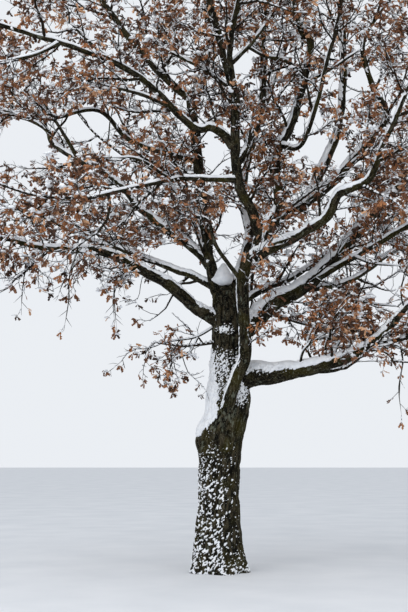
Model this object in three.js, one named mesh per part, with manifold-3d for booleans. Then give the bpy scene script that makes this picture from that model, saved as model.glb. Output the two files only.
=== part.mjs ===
// An old open-grown oak in winter leaf with snow: trunk, stems, boughs, masses of twigs that hold
// their dead leaves, and the thickest snow. Millimetres, +Z up, origin at the flat cut on the ground.
import * as THREE from "three";
import { mergeVertices } from "three/addons/utils/BufferGeometryUtils.js";
import Module from "manifold-3d";

const wasm = await Module();
wasm.setup();

// Clearance between solids that meet.
const GAP = 0.35;
// Short edges that fusing leaves are closed up to this length.
const FUSED_TOLERANCE = 3;

const BARK = { color: 0x4a4136, roughness: 0.95, metalness: 0 };
const LEAF = { color: 0x8a5233, roughness: 0.85, metalness: 0 };
const SNOW = { color: 0xeef2f6, roughness: 0.8, metalness: 0 };

// The trunk from the ground to its crotch: height, centre and radius of each ring.
const TRUNK_SIDES = 18;
const TRUNK_TOP = 4440;
const TRUNK_RINGS = [
  { z: 0, x: -12, y: 0, r: 440 },
  { z: 90, x: -14, y: 0, r: 418 },
  { z: 420, x: -34, y: 0, r: 368 },
  { z: 790, x: -13, y: 0, r: 333 },
  { z: 1200, x: -10, y: 0, r: 312 },
  { z: 1680, x: 8, y: 0, r: 322 },
  { z: 1980, x: 8, y: 0, r: 350 },
  { z: 2160, x: 40, y: 0, r: 362 },
  { z: 2380, x: 125, y: 5, r: 332 },
  { z: 2600, x: 155, y: 15, r: 335 },
  { z: 2900, x: 160, y: 30, r: 310 },
  { z: 3500, x: 172, y: 60, r: 285 },
  { z: 4050, x: 158, y: 80, r: 268 },
  { z: 4330, x: 148, y: 95, r: 250 },
  { z: TRUNK_TOP, x: 145, y: 100, r: 150 },
];
// Buttresses of the root flare: how many, how proud at the ground and how fast they fade upwards.
const BUTTRESS = { count: 5, depth: 0.1, fade: 320, turn: 0.7 };
// The swelling over an old wound low on the left: height, reach, width as an angle, and its heading.
const KNOB = { z: 1980, tall: 150, out: 32, wide: 0.5, heading: Math.PI };

// A bough starts on its carrier's centre line. from: the carrier; at: legs of the carrier already
// passed, or for the trunk the height in mm; base and tip: radii; legs: length, heading and rise.
const BOUGHS = {
  front_stem: { from: "trunk", at: 2150, base: 118, tip: 86,
    legs: [[630, -73, 49], [350, -38, 68], [400, -8, 71], [1150, -112, 86], [450, -11, 58]] },
  front_leader: { from: "front_stem", at: 5, base: 74, tip: 34,
    legs: [[500, -148, 83], [750, -152, 65], [1150, -98, 80], [300, -179, 76], [1350, -137, 70],
      [1200, -150, 74]] },
  bough_long_left: { from: "front_leader", at: 2.35, base: 66, tip: 30,
    legs: [[450, -166, 40], [350, -164, 0], [1000, -154, 37], [850, -158, 20], [1450, -162, 11]] },
  bough_upper_middle: { from: "front_leader", at: 2.15, base: 62, tip: 30,
    legs: [[350, 10, 56], [1050, 49, 68], [1100, 84, 79], [700, 60, 78]] },
  bough_front_left: { from: "front_leader", at: 1.9, base: 44, tip: 24,
    legs: [[850, -150, -6], [450, -140, -14], [1350, -140, -20]] },
  bough_front: { from: "front_leader", at: 3.2, base: 50, tip: 26,
    legs: [[800, -98, 38], [850, -80, 32], [700, -92, 26]] },
  rear_leader: { from: "trunk", at: 4310, base: 104, tip: 80,
    legs: [[450, -171, 53], [3000, 145, 82]] },
  bough_high_left: { from: "rear_leader", at: 2, base: 66, tip: 36,
    legs: [[550, 179, 40], [950, 175, 50], [1200, 172, 56], [600, 160, 62]] },
  rear_leader_top: { from: "rear_leader", at: 2, base: 60, tip: 32,
    legs: [[250, 29, 44], [1000, 65, 69], [1100, 109, 79], [900, 110, 84]] },
  bough_great_left: { from: "rear_leader", at: 1.04, base: 76, tip: 32,
    legs: [[400, 160, 48], [1300, 154, 38], [700, 153, 49], [1450, 156, 32], [450, 157, 57],
      [1000, 156, 27]] },
  bough_thin_left: { from: "rear_leader", at: 1.66, base: 46, tip: 24,
    legs: [[1150, -153, 8], [750, -152, 35], [750, -156, -18]] },
  bough_back_left: { from: "rear_leader", at: 1.3, base: 60, tip: 28,
    legs: [[800, 118, 42], [1200, 128, 40], [1100, 136, 30]] },
  bough_rear_left: { from: "trunk", at: 4300, base: 66, tip: 30,
    legs: [[550, 168, 30], [400, 154, 23], [1350, 149, 23], [700, 142, 19], [1050, 155, 28]] },
  bough_low_left: { from: "trunk", at: 3750, base: 106, tip: 32,
    legs: [[550, -160, 28], [650, -146, 31], [600, -150, 22], [700, -144, 16], [850, -143, -4],
      [600, -150, 6]] },
  bough_low_right: { from: "trunk", at: 2965, base: 122, tip: 80,
    legs: [[1050, -20, 4], [700, -27, 12], [500, -27, 18]] },
  bough_low_right_fork: { from: "bough_low_right", at: 3, base: 64, tip: 34,
    legs: [[500, -23, 40], [400, -41, 43], [700, -41, 26]] },
  bough_great_right: { from: "trunk", at: 3510, base: 150, tip: 38,
    legs: [[900, 11, 43], [1050, 15, 34], [2100, 20, 47], [550, 27, 36]] },
  bough_right_lower_front: { from: "bough_great_right", at: 1.68, base: 52, tip: 26,
    legs: [[1900, -34, 23], [550, -41, 19]] },
  bough_right_lower_rear: { from: "bough_great_right", at: 1.6, base: 50, tip: 26,
    legs: [[1200, 37, 13], [1300, 33, 31], [750, 30, 19]] },
  bough_right_front: { from: "front_stem", at: 4.9, base: 80, tip: 30,
    legs: [[1100, -22, 22], [500, -39, 48], [500, -38, 16], [550, -44, 58], [800, -26, 64]] },
  right_leader: { from: "bough_right_front", at: 0.12, base: 72, tip: 34,
    legs: [[450, 31, 77], [350, 19, 62], [750, 129, 83], [750, 15, 65], [1300, 18, 76],
      [350, 173, 64], [800, 147, 80], [800, 140, 82]] },
  bough_right_long: { from: "right_leader", at: 1.05, base: 78, tip: 32,
    legs: [[350, 29, 25], [900, 24, 36], [1150, 22, 47], [600, 18, 56], [700, 143, 68],
      [800, 117, 78], [950, 17, 58]] },
  bough_right_upright: { from: "bough_right_long", at: 1.54, base: 64, tip: 32,
    legs: [[1650, 46, 59], [1600, 65, 74], [900, 90, 73]] },
  bough_inner_right: { from: "right_leader", at: 3.36, base: 44, tip: 26,
    legs: [[450, -35, 2], [1550, -62, 59]] },
  back_leader: { from: "trunk", at: 4260, base: 92, tip: 36,
    legs: [[750, 45, 60], [500, 58, 71], [750, 105, 65], [1150, 70, 63], [2300, 53, 63]] },
  bough_back: { from: "trunk", at: 4150, base: 70, tip: 30,
    legs: [[600, 125, 56], [1300, 118, 52], [1200, 110, 34]] },
  bough_back_right: { from: "trunk", at: 4000, base: 62, tip: 26,
    legs: [[700, 34, 34], [1050, 47, 22], [1100, 46, 30], [900, 48, 24]] },
};
// How a bough swells into its carrier: share of its radius, and how many radii the swelling runs.
const COLLAR = { swell: 0.45, run: 2.2 };
const TAPER = 0.9; // under 1, a bough keeps its thickness a little before it thins
const STATIONS_PER_LEG = 1.3;
const sidesOf = (radius) => (radius > 100 ? 9 : radius > 60 ? 6 : 5);

// A mass of twigs. on: its bough, or the trunk with at and heading; reach: radius of its space;
// lift: how far its stem turns up from the bough's own direction, and out: sideways, in degrees;
// long: length of its stem over its reach, where it isn't the usual; seed: its own draw.
const MASSES = {
  foliage_front_leader: { on: "front_leader", reach: 1350, lift: 4, seed: 11 },
  foliage_long_left: { on: "bough_long_left", reach: 1350, lift: 6, seed: 12 },
  foliage_upper_middle: { on: "bough_upper_middle", reach: 1150, lift: 0, seed: 13 },
  foliage_front_left: { on: "bough_front_left", reach: 1250, lift: 12, seed: 14 },
  foliage_front: { on: "bough_front", reach: 1350, lift: 4, seed: 15 },
  foliage_high_left: { on: "bough_high_left", reach: 1400, lift: 0, seed: 16 },
  foliage_rear_leader: { on: "rear_leader_top", reach: 1350, lift: 0, seed: 17 },
  foliage_great_left: { on: "bough_great_left", reach: 1450, lift: -4, seed: 18 },
  foliage_thin_left: { on: "bough_thin_left", reach: 1150, lift: 22, seed: 19 },
  foliage_back_left: { on: "bough_back_left", reach: 1450, lift: 8, seed: 20 },
  foliage_rear_left: { on: "bough_rear_left", reach: 1400, lift: -10, seed: 21 },
  foliage_low_left: { on: "bough_low_left", reach: 1350, lift: -4, seed: 22 },
  foliage_low_right: { on: "bough_low_right", reach: 1250, lift: -3, seed: 23, out: 32, long: 2.1 },
  foliage_low_right_fork: { on: "bough_low_right_fork", reach: 1250, lift: 0, seed: 24 },
  foliage_great_right: { on: "bough_great_right", reach: 1350, lift: 4, seed: 25 },
  foliage_right_lower_front: { on: "bough_right_lower_front", reach: 1250, lift: 0, seed: 26 },
  foliage_right_lower_rear: { on: "bough_right_lower_rear", reach: 1300, lift: 0, seed: 27 },
  foliage_right_front: { on: "bough_right_front", reach: 1350, lift: 0, seed: 28 },
  foliage_right_leader: { on: "right_leader", reach: 1350, lift: 0, seed: 29 },
  foliage_right_long: { on: "bough_right_long", reach: 1350, lift: 4, seed: 30 },
  foliage_right_upright: { on: "bough_right_upright", reach: 1200, lift: 0, seed: 31 },
  foliage_inner_right: { on: "bough_inner_right", reach: 1200, lift: 4, seed: 32 },
  foliage_back_leader: { on: "back_leader", reach: 1450, lift: 0, seed: 33 },
  foliage_back: { on: "bough_back", reach: 1500, lift: 8, seed: 34 },
  foliage_back_right: { on: "bough_back_right", reach: 1450, lift: 10, seed: 35 },
  foliage_low_spray: { on: "trunk", at: 3560, heading: -168, reach: 780, lift: -8, seed: 36 },
};

// A mass's stem: its length over the reach of the mass, the straight start that follows its bough,
// how it bends at its middle, its radius at the tip and where it starts, over the bough's tip.
const STEM = {
  share: 1.35, straight: 60, bendUp: 12, bendOut: 8, tip: 12, sides: 4,
  atTip: 0.94, besideFork: 0.48, onTrunk: 26, trunkMiddle: 0.75, steepest: 88,
};

// The rule by which every mass branches.
const TWIGS = {
  perStem: 7, // side twigs on a stem
  first: 0.22, // share of the stem below its lowest twig
  turn: 137.5, // degrees round the stem from one twig to the next
  turnVaries: 40, // and how far chance adds to that
  spread: 56, // degrees a twig leans out from its stem
  spreadVaries: 14,
  longest: 0.78, // length of the lowest twig over the reach
  shortest: 0.42, // and of the last one
  upturn: 0.28, // how far a twig's tip bends to the sky
  sides: 3,
  base: 17, // radius at the root of a twig
  tip: 8,
  clear: 30, // free space that a twig or spray keeps from any limb
  margin: 0.02, // free space between two masses, as a share of their reach
  sideSprays: 1, // on each twig, besides the one at its tip
  firstSide: 0.3, // how far past the elbow the first of them sits
  sprayAngle: 48,
  tries: [1, 0.72, 0.5], // a twig with no room is drawn shorter, or skipped at the last
};
// One spray of leaves, drawn as a single thick blade, larger than life: broadest lies at that share
// of its length, droop is how far it hangs, and least and varies are how its size falls by chance.
const SPRAY = { long: 590, wide: 330, thick: 24, broadest: 0.45, droop: 0.3, least: 0.85, varies: 0.3 };

// Share of a stem's last stretch that its top spray is sunk into it.
const TOP_SPRAY_SUNK = 0.06;

// Snow that lies thickest. on: its bough; from and to: legs passed; deep: its depth over the bark.
const SNOW_CAPS = {
  snow_low_right: { on: "bough_low_right", from: 0.5, to: 2.7, deep: 105 },
  snow_great_right: { on: "bough_great_right", from: 0.6, to: 2.5, deep: 115 },
  snow_low_left: { on: "bough_low_left", from: 0.8, to: 3.6, deep: 62 },
  snow_rear_left: { on: "bough_rear_left", from: 0.8, to: 3.2, deep: 60 },
  snow_right_front: { on: "bough_right_front", from: 0.35, to: 2.6, deep: 100 },
};
const SNOW_WIDE = 0.86; // half width of a cap over the radius of its bough
const SNOW_SUNK = 0.3; // height over the centre line, in radii, that a cap would reach down to
const CAP_RINGS = 7;
const CAP_SIDES = 6;
// The heap of snow in the crotch: its middle and half sizes.
const CROTCH_SNOW = { x: 120, y: 80, z: 4430, wide: 120, deep: 170, tall: 290 };

const rad = THREE.MathUtils.degToRad;
const UP = new THREE.Vector3(0, 0, 1);

// A repeatable stream of numbers from 0 to 1.
function seeded(seed) {
  let state = seed >>> 0;
  return () => {
    state = (state + 0x6d2b79f5) >>> 0;
    let t = state;
    t = Math.imul(t ^ (t >>> 15), t | 1);
    t ^= t + Math.imul(t ^ (t >>> 7), t | 61);
    return ((t ^ (t >>> 14)) >>> 0) / 4294967296;
  };
}

// The unit direction at a heading round from +X and a rise from level, in degrees.
function direction(heading, rise) {
  return new THREE.Vector3(
    Math.cos(rad(rise)) * Math.cos(rad(heading)),
    Math.cos(rad(rise)) * Math.sin(rad(heading)),
    Math.sin(rad(rise)),
  );
}

// The smooth centre line through the ends of a limb's legs.
function lineOf(start, legs) {
  const points = [start.clone()];
  for (const [length, heading, rise] of legs)
    points.push(points.at(-1).clone().addScaledVector(direction(heading, rise), length));
  return new THREE.CatmullRomCurve3(points, false, "catmullrom", 0.5);
}

// A closed geometry as a solid that can be joined and cut.
function solidOf(geometry) {
  const bare = geometry.clone();
  for (const name of ["normal", "uv"]) bare.deleteAttribute(name);
  const merged = mergeVertices(bare, 1e-4);
  return new wasm.Manifold(new wasm.Mesh({
    numProp: 3,
    vertProperties: merged.attributes.position.array,
    triVerts: new Uint32Array(merged.index.array),
  }));
}

function geometryOf(solid) {
  const mesh = solid.getMesh();
  const geometry = new THREE.BufferGeometry();
  geometry.setAttribute("position", new THREE.BufferAttribute(mesh.vertProperties, 3));
  geometry.setIndex(new THREE.BufferAttribute(mesh.triVerts, 1));
  geometry.computeVertexNormals();
  return geometry;
}

function largestBody(solid) {
  return solid.decompose().reduce((a, b) => (a.volume() > b.volume() ? a : b));
}

// A closed skin over rings of equal count, with a fan of triangles over each end. The last fan
// runs to the ring's own middle, or to a point beyond it.
function skin(rings, point = null) {
  const sides = rings[0].length;
  const middle = (ring) => ring.reduce((sum, p) => sum.add(p), new THREE.Vector3()).divideScalar(sides);
  const points = [...rings.flat(), middle(rings[0]), point ?? middle(rings.at(-1))];
  const index = [];
  for (let k = 0; k + 1 < rings.length; k++)
    for (let i = 0; i < sides; i++) {
      const a = k * sides + i;
      const b = k * sides + ((i + 1) % sides);
      index.push(a, b, b + sides, a, b + sides, a + sides);
    }
  const last = (rings.length - 1) * sides;
  for (let i = 0; i < sides; i++) {
    const next = (i + 1) % sides;
    index.push(points.length - 2, next, i);
    index.push(points.length - 1, last + i, last + next);
  }
  const geometry = new THREE.BufferGeometry().setFromPoints(points);
  geometry.setIndex(index);
  return geometry;
}

// A direction square to another, level where it can be.
function squareTo(along) {
  return along.clone().cross(Math.abs(along.z) < 0.9 ? UP : new THREE.Vector3(0, 1, 0)).normalize();
}

// A limb's rings, square to its line and carried along it without twist.
function ringsAlong(points, radii, sides) {
  let across = null;
  return points.map((point, k) => {
    const before = points[Math.max(k - 1, 0)];
    const after = points[Math.min(k + 1, points.length - 1)];
    const along = after.clone().sub(before).normalize();
    across ??= squareTo(along);
    across.addScaledVector(along, -across.dot(along)).normalize();
    const third = along.clone().cross(across);
    return Array.from({ length: sides }, (_, i) => {
      const angle = (2 * Math.PI * i) / sides;
      return point.clone()
        .addScaledVector(across, radii[k] * Math.cos(angle))
        .addScaledVector(third, radii[k] * Math.sin(angle));
    });
  });
}

const tube = (points, radii, sides) => skin(ringsAlong(points, radii, sides));

// The trunk's centre and radius at a height.
function trunkAt(height) {
  const k = Math.max(TRUNK_RINGS.findIndex((ring) => ring.z > height), 1);
  const [low, high] = [TRUNK_RINGS[k - 1], TRUNK_RINGS[k]];
  const share = (height - low.z) / (high.z - low.z);
  const mix = (key) => low[key] + (high[key] - low[key]) * share;
  return { point: new THREE.Vector3(mix("x"), mix("y"), height), radius: mix("r") };
}

// Rings of the trunk with its buttresses and its knob, grown outwards by extra.
function trunkGeometry(extra) {
  return skin(TRUNK_RINGS.map(({ x, y, z, r }, k) =>
    Array.from({ length: TRUNK_SIDES }, (_, i) => {
      const angle = (2 * Math.PI * i) / TRUNK_SIDES;
      const lobes = BUTTRESS.depth * Math.exp(-z / BUTTRESS.fade)
        * Math.cos(BUTTRESS.count * angle + BUTTRESS.turn);
      const off = Math.atan2(Math.sin(angle - KNOB.heading), Math.cos(angle - KNOB.heading));
      const knob = KNOB.out * Math.exp(-((off / KNOB.wide) ** 2) - ((z - KNOB.z) / KNOB.tall) ** 2);
      const radius = r * (1 + lobes) + knob + extra;
      const lifted = k === TRUNK_RINGS.length - 1 ? z + extra : z;
      return new THREE.Vector3(x + radius * Math.cos(angle), y + radius * Math.sin(angle), lifted);
    })));
}

// Radius of a bough at a share of its length, with the collar where it leaves its carrier.
function boughRadius({ base, tip, legs }, share) {
  const length = legs.reduce((sum, [leg]) => sum + leg, 0);
  const plain = tip + (base - tip) * (1 - share) ** TAPER;
  return plain * (1 + COLLAR.swell * Math.exp((-share * length) / (COLLAR.run * base)));
}

// A bough's skin, grown outwards by extra, a little more at its corners so that its faces clear too.
function boughTube(bough, extra) {
  const points = bough.stations.map(({ point }) => point.clone());
  for (const [end, next] of [[points.at(-1), points.at(-2)], [points[0], points[1]]])
    end.addScaledVector(end.clone().sub(next).normalize(), extra);
  return tube(points, bough.stations.map(({ radius }) => radius + extra * 1.1), bough.sides);
}

// Places every bough: its line, its stations and what they measure.
const limbs = new Map();
for (const [name, spec] of Object.entries(BOUGHS)) {
  const carrier = limbs.get(spec.from);
  const start = carrier ? carrier.line.getPoint(spec.at / carrier.legs.length) : trunkAt(spec.at).point;
  const line = lineOf(start, spec.legs);
  const count = Math.max(3, Math.round(spec.legs.length * STATIONS_PER_LEG));
  const stations = Array.from({ length: count + 1 }, (_, k) => ({
    point: line.getPoint(k / count),
    radius: boughRadius(spec, k / count),
  }));
  limbs.set(name, { ...spec, name, line, stations, sides: sidesOf(spec.base) });
}

// Bends a direction up or down and sideways, in degrees.
function steer(along, lift, out) {
  const heading = THREE.MathUtils.radToDeg(Math.atan2(along.y, along.x)) + out;
  const rise = THREE.MathUtils.radToDeg(Math.asin(along.z)) + lift;
  return direction(heading, Math.min(rise, STEM.steepest));
}

// Places every mass's stem and the middle of its space.
const masses = new Map();
for (const [name, spec] of Object.entries(MASSES)) {
  const carrier = limbs.get(spec.on);
  const mass = { out: 0, long: STEM.share, ...spec, name };
  let along;
  let thick;
  if (carrier) {
    const tip = carrier.stations.at(-1);
    along = tip.point.clone().sub(carrier.stations.at(-2).point).normalize();
    mass.ahead = steer(along, mass.lift, mass.out);
    mass.start = tip.point.clone().addScaledVector(along, GAP);
    mass.middle = tip.point.clone().addScaledVector(mass.ahead, (mass.long * mass.reach) / 2);
    thick = carrier.tip * (mass.out ? STEM.besideFork : STEM.atTip);
  } else {
    const { point, radius } = trunkAt(spec.at);
    along = direction(spec.heading, spec.lift);
    mass.ahead = along;
    mass.start = point.clone().addScaledVector(along, radius / 2);
    mass.middle = point.clone().addScaledVector(along, radius + mass.reach * STEM.trunkMiddle);
    thick = STEM.onTrunk;
  }
  const half = (mass.long * mass.reach) / 2;
  const first = mass.start.clone().addScaledVector(along, STEM.straight);
  const middle = first.clone().addScaledVector(mass.ahead, half);
  const end = middle.clone().addScaledVector(steer(mass.ahead, STEM.bendUp, STEM.bendOut), half);
  mass.line = new THREE.CatmullRomCurve3([mass.start, first, middle, end], false, "catmullrom", 0.5);
  mass.stations = [0, 1, 2, 3].map((k) => ({
    point: mass.line.getPoint(k / 3),
    radius: thick + (STEM.tip - thick) * Math.max(0, (k - 1) / 2),
  }));
  masses.set(name, mass);
}

// How near a point lies to a mass's middle, over that mass's reach.
const nearness = (mass, point) => mass.middle.distanceTo(point) / mass.reach;

// True where a point is inside a mass's reach and nearer to it than to any other mass.
function inOwnSpace(mass, point) {
  const own = nearness(mass, point);
  if (own > 1) return false;
  for (const other of masses.values())
    if (other !== mass && nearness(other, point) < own + TWIGS.margin) return false;
  return true;
}

// True where a point is clear of the trunk, of every bough and of every other mass's stem.
const segment = new THREE.Line3();
const nearest = new THREE.Vector3();
function clearOfLimbs(mass, point, room) {
  if (point.z < TRUNK_TOP) {
    const { point: centre, radius } = trunkAt(Math.max(point.z, 0));
    if (Math.hypot(point.x - centre.x, point.y - centre.y) < radius + room) return false;
  }
  for (const limb of [...limbs.values(), ...masses.values()]) {
    if (limb === mass) continue;
    for (let k = 0; k + 1 < limb.stations.length; k++) {
      const [a, b] = [limb.stations[k], limb.stations[k + 1]];
      segment.set(a.point, b.point).closestPointToPoint(point, true, nearest);
      if (nearest.distanceTo(point) < Math.max(a.radius, b.radius) + room) return false;
    }
  }
  return true;
}

const fits = (mass, points, room) =>
  points.every((point) => inOwnSpace(mass, point) && clearOfLimbs(mass, point, room));

// The direction that leans out from along by lean degrees, at turn degrees round it.
function leaning(along, turn, lean) {
  const out = squareTo(along).applyAxisAngle(along, rad(turn));
  return along.clone().multiplyScalar(Math.cos(rad(lean))).addScaledVector(out, Math.sin(rad(lean)));
}

// The places on one spray of leaves: along it, across it and over it, as shares of its size.
function sprayFrame(root, ahead, flat, size) {
  const side = ahead.clone().cross(flat).normalize();
  const over = side.clone().cross(ahead).normalize();
  return (along, across, above) => root.clone()
    .addScaledVector(ahead, along * SPRAY.long * size)
    .addScaledVector(side, across * SPRAY.wide * size)
    .addScaledVector(over, above * SPRAY.thick * size);
}

// The places that tell whether a spray has room: its rim, its middle and points between them.
function sprayReach(at) {
  const rear = SPRAY.broadest / 2;
  const fore = (1 + SPRAY.broadest) / 2;
  const middle = [SPRAY.broadest, fore, 1].map((along) => at(along, 0, 0));
  const sides = [1, -1].flatMap((side) => [at(rear, side / 4, 0), at(SPRAY.broadest, side / 2, 0),
    at(SPRAY.broadest, side / 4, 0), at(fore, side / 4, 0)]);
  return [...middle, ...sides];
}

// A spray on the side of a twig: a flat eight-faced blade from its root to its tip.
function sideSpray(at) {
  const rim = [at(0, 0, 0), at(SPRAY.broadest, 0.5, 0), at(1, 0, 0), at(SPRAY.broadest, -0.5, 0)];
  const points = [...rim, at(SPRAY.broadest, 0, 0.5), at(SPRAY.broadest, 0, -0.5)];
  const index = [];
  for (let i = 0; i < 4; i++) {
    const next = (i + 1) % 4;
    index.push(4, i, next, 5, next, i);
  }
  const geometry = new THREE.BufferGeometry().setFromPoints(points);
  geometry.setIndex(index);
  return geometry;
}

// A twig whose skin widens into the spray at its tip.
function twigWithSpray(points, radii, at) {
  const rings = ringsAlong(points, radii, TWIGS.sides);
  const neck = rings.at(-1);
  const blade = [at(SPRAY.broadest, -0.5, -0.3), at(SPRAY.broadest, 0, 0.7), at(SPRAY.broadest, 0.5, -0.3)];
  const travel = (turn) => neck.reduce((sum, p, i) => sum + p.distanceToSquared(blade[(i + turn) % 3]), 0);
  const turn = [0, 1, 2].reduce((best, other) => (travel(other) < travel(best) ? other : best));
  rings.push(neck.map((_, i) => blade[(i + turn) % 3]));
  return skin(rings, at(1, 0, 0));
}

// Grows one side twig of a mass, with its sprays, into a list of skins.
function growTwig(mass, k, draw) {
  const share = TWIGS.first + ((1 - TWIGS.first) * (k + 0.5)) / TWIGS.perStem;
  const along = mass.line.getTangent(share);
  const root = mass.line.getPoint(share);
  const turn = TWIGS.turn * k + TWIGS.turnVaries * draw();
  const ahead = leaning(along, turn, TWIGS.spread + TWIGS.spreadVaries * (draw() - 0.5))
    .addScaledVector(UP, TWIGS.upturn / 2).normalize();
  const longest = TWIGS.longest + (TWIGS.shortest - TWIGS.longest) * share;
  const bent = ahead.clone().addScaledVector(UP, TWIGS.upturn).normalize();
  const flat = UP.clone().add(new THREE.Vector3(draw() - 0.5, draw() - 0.5, 0)).normalize();
  const size = SPRAY.least + SPRAY.varies * draw();
  for (const shorter of TWIGS.tries) {
    const length = mass.reach * longest * shorter;
    const elbow = root.clone().addScaledVector(ahead, length * 0.5);
    const end = elbow.clone().addScaledVector(bent, length * 0.5);
    const drooped = bent.clone().addScaledVector(UP, -SPRAY.droop).normalize();
    const at = sprayFrame(end, drooped, flat, size);
    if (!fits(mass, [elbow, end, ...sprayReach(at)], TWIGS.clear + TWIGS.base)) continue;
    const radii = [TWIGS.base, (TWIGS.base + TWIGS.tip) / 2, TWIGS.tip];
    const grown = [twigWithSpray([root, elbow, end], radii, at)];
    for (let j = 0; j < TWIGS.sideSprays; j++) {
      const place = elbow.clone().lerp(end, TWIGS.firstSide + j / (2 * TWIGS.sideSprays));
      const lean = leaning(bent, (k + j) % 2 ? 180 : 0, TWIGS.sprayAngle);
      const side = sprayFrame(place, lean, flat, SPRAY.least + SPRAY.varies * draw());
      if (fits(mass, sprayReach(side), TWIGS.clear)) grown.push(sideSpray(side));
    }
    return grown;
  }
  return [];
}

// Fuses a mass: its stem with a spray at its tip, its side twigs and theirs.
function growMass(mass) {
  const draw = seeded(mass.seed);
  const points = mass.stations.map(({ point }) => point);
  const radii = mass.stations.map(({ radius }) => radius);
  const pieces = [tube(points, radii, STEM.sides)];
  const sunk = points.at(-1).clone().lerp(points.at(-2), TOP_SPRAY_SUNK);
  const top = sprayFrame(sunk, mass.line.getTangent(1), UP, 1);
  if (fits(mass, sprayReach(top), TWIGS.clear)) pieces.push(sideSpray(top));
  for (let k = 0; k < TWIGS.perStem; k++) pieces.push(...growTwig(mass, k, draw));
  return pieces.map(solidOf).reduce((a, b) => a.add(b)).simplify(FUSED_TOLERANCE);
}

// A cap of snow along the top of a bough, before the bough is cut from it.
function snowBody(bough, { from, to, deep }) {
  return solidOf(skin(Array.from({ length: CAP_RINGS }, (_, k) => {
    const share = (from + ((to - from) * k) / (CAP_RINGS - 1)) / bough.legs.length;
    const along = bough.line.getTangent(share);
    const across = UP.clone().cross(along).normalize();
    const over = along.clone().cross(across);
    const radius = boughRadius(bough, share);
    const edge = Math.sin((Math.PI * (k + 0.35)) / (CAP_RINGS - 0.3)) ** 0.4; // blunt at both ends
    const low = SNOW_SUNK * radius;
    const half = ((radius - low + deep) * edge) / 2;
    return Array.from({ length: CAP_SIDES }, (_, i) => {
      const angle = (2 * Math.PI * i) / CAP_SIDES;
      return bough.line.getPoint(share)
        .addScaledVector(across, SNOW_WIDE * radius * edge * Math.cos(angle))
        .addScaledVector(over, low + half * (1 + Math.sin(angle)));
    });
  })));
}

const tree = new THREE.Group();
tree.name = "oak_in_winter_leaf_with_snow";

function addPart(name, solid, look) {
  const mesh = new THREE.Mesh(geometryOf(solid), new THREE.MeshStandardMaterial(look));
  mesh.name = name;
  tree.add(mesh);
}

// Bodies that later ones are cut back from, each grown by the clearance.
const keepClear = [solidOf(trunkGeometry(GAP))];
const cutBack = (solid) => largestBody(keepClear.reduce((rest, other) => rest.subtract(other), solid));

addPart("trunk", solidOf(trunkGeometry(0)), BARK);
for (const bough of limbs.values()) {
  const solid = cutBack(solidOf(boughTube(bough, 0)));
  addPart(bough.name, solid, BARK);
  keepClear.push(solidOf(boughTube(bough, GAP)));
}
for (const mass of masses.values()) addPart(mass.name, cutBack(growMass(mass)), LEAF);
for (const [name, cap] of Object.entries(SNOW_CAPS))
  addPart(name, cutBack(snowBody(limbs.get(cap.on), cap)), SNOW);

const heap = new THREE.SphereGeometry(1, 10, 6);
heap.rotateX(Math.PI / 2);
heap.scale(CROTCH_SNOW.wide, CROTCH_SNOW.deep, CROTCH_SNOW.tall);
heap.translate(CROTCH_SNOW.x, CROTCH_SNOW.y, CROTCH_SNOW.z);
addPart("snow_crotch", cutBack(solidOf(heap)), SNOW);

export default tree;
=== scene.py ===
"""The looks of an old open-grown oak in winter leaf: bark, twigs, dead leaves and snow.

Metres, +Z up, origin at the flat cut on the ground. The trunk and the limbs are placed from the same
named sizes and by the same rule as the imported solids, and the finer wood grows on from them.
"""

import logging
import math
import random
from collections.abc import Callable
from dataclasses import dataclass, field
from enum import Enum

import bpy
import numpy as np
from bpy.types import Material, Node, NodeSocket, Object
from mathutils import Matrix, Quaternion, Vector, noise


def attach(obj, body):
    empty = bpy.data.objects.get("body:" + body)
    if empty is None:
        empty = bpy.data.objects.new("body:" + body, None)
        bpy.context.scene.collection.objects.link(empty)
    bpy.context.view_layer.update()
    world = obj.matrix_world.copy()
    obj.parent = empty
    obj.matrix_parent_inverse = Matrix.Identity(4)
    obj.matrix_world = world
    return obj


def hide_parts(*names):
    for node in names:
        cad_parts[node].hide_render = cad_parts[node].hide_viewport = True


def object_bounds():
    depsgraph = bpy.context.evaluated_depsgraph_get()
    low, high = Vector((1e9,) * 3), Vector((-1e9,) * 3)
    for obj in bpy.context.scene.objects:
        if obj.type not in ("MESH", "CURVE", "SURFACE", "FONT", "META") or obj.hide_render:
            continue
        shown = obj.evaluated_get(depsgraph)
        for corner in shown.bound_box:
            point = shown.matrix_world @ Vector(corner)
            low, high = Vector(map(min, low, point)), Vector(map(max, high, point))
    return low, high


Rows = np.ndarray  # vectors or numbers, one a row

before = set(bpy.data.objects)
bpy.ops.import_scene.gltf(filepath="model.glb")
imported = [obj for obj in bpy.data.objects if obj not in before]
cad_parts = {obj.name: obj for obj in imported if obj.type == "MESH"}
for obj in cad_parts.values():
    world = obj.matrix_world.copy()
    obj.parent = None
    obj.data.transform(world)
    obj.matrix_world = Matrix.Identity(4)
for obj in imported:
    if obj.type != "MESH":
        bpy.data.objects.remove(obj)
CAD_BOX = [list(corner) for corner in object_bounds()]

log = logging.getLogger("oak")

UP = Vector((0, 0, 1))
STEEP = 0.9  # rise of a unit direction over which it counts as upright
GOLDEN_TURN = 137.5  # degrees from one side shoot round to the next
NEAR_AXIS = 1e-6  # distances under it count as this, where they divide
EYE = Vector((-0.24, -16, 1.7))  # where the tree is looked at from
WIND = Vector((-0.93, -0.37, 0))  # the side that the snow was driven against


class Slot(Enum):
    """The material slots: bark, leaves and snow."""

    BARK = "bark"
    LEAVES = "leaves"
    SNOW = "snow"


def unit(rows: Rows) -> Rows:
    """Scales each row, a vector, to length one."""
    return rows / np.maximum(np.linalg.norm(rows, axis=-1, keepdims=True), 1e-12)


def smoothstep(low: float, high: float, value: Rows) -> Rows:
    """Eases a value from 0 at low to 1 at high."""
    share = np.clip((value - low) / (high - low), 0, 1)
    return share * share * (3 - 2 * share)


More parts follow.
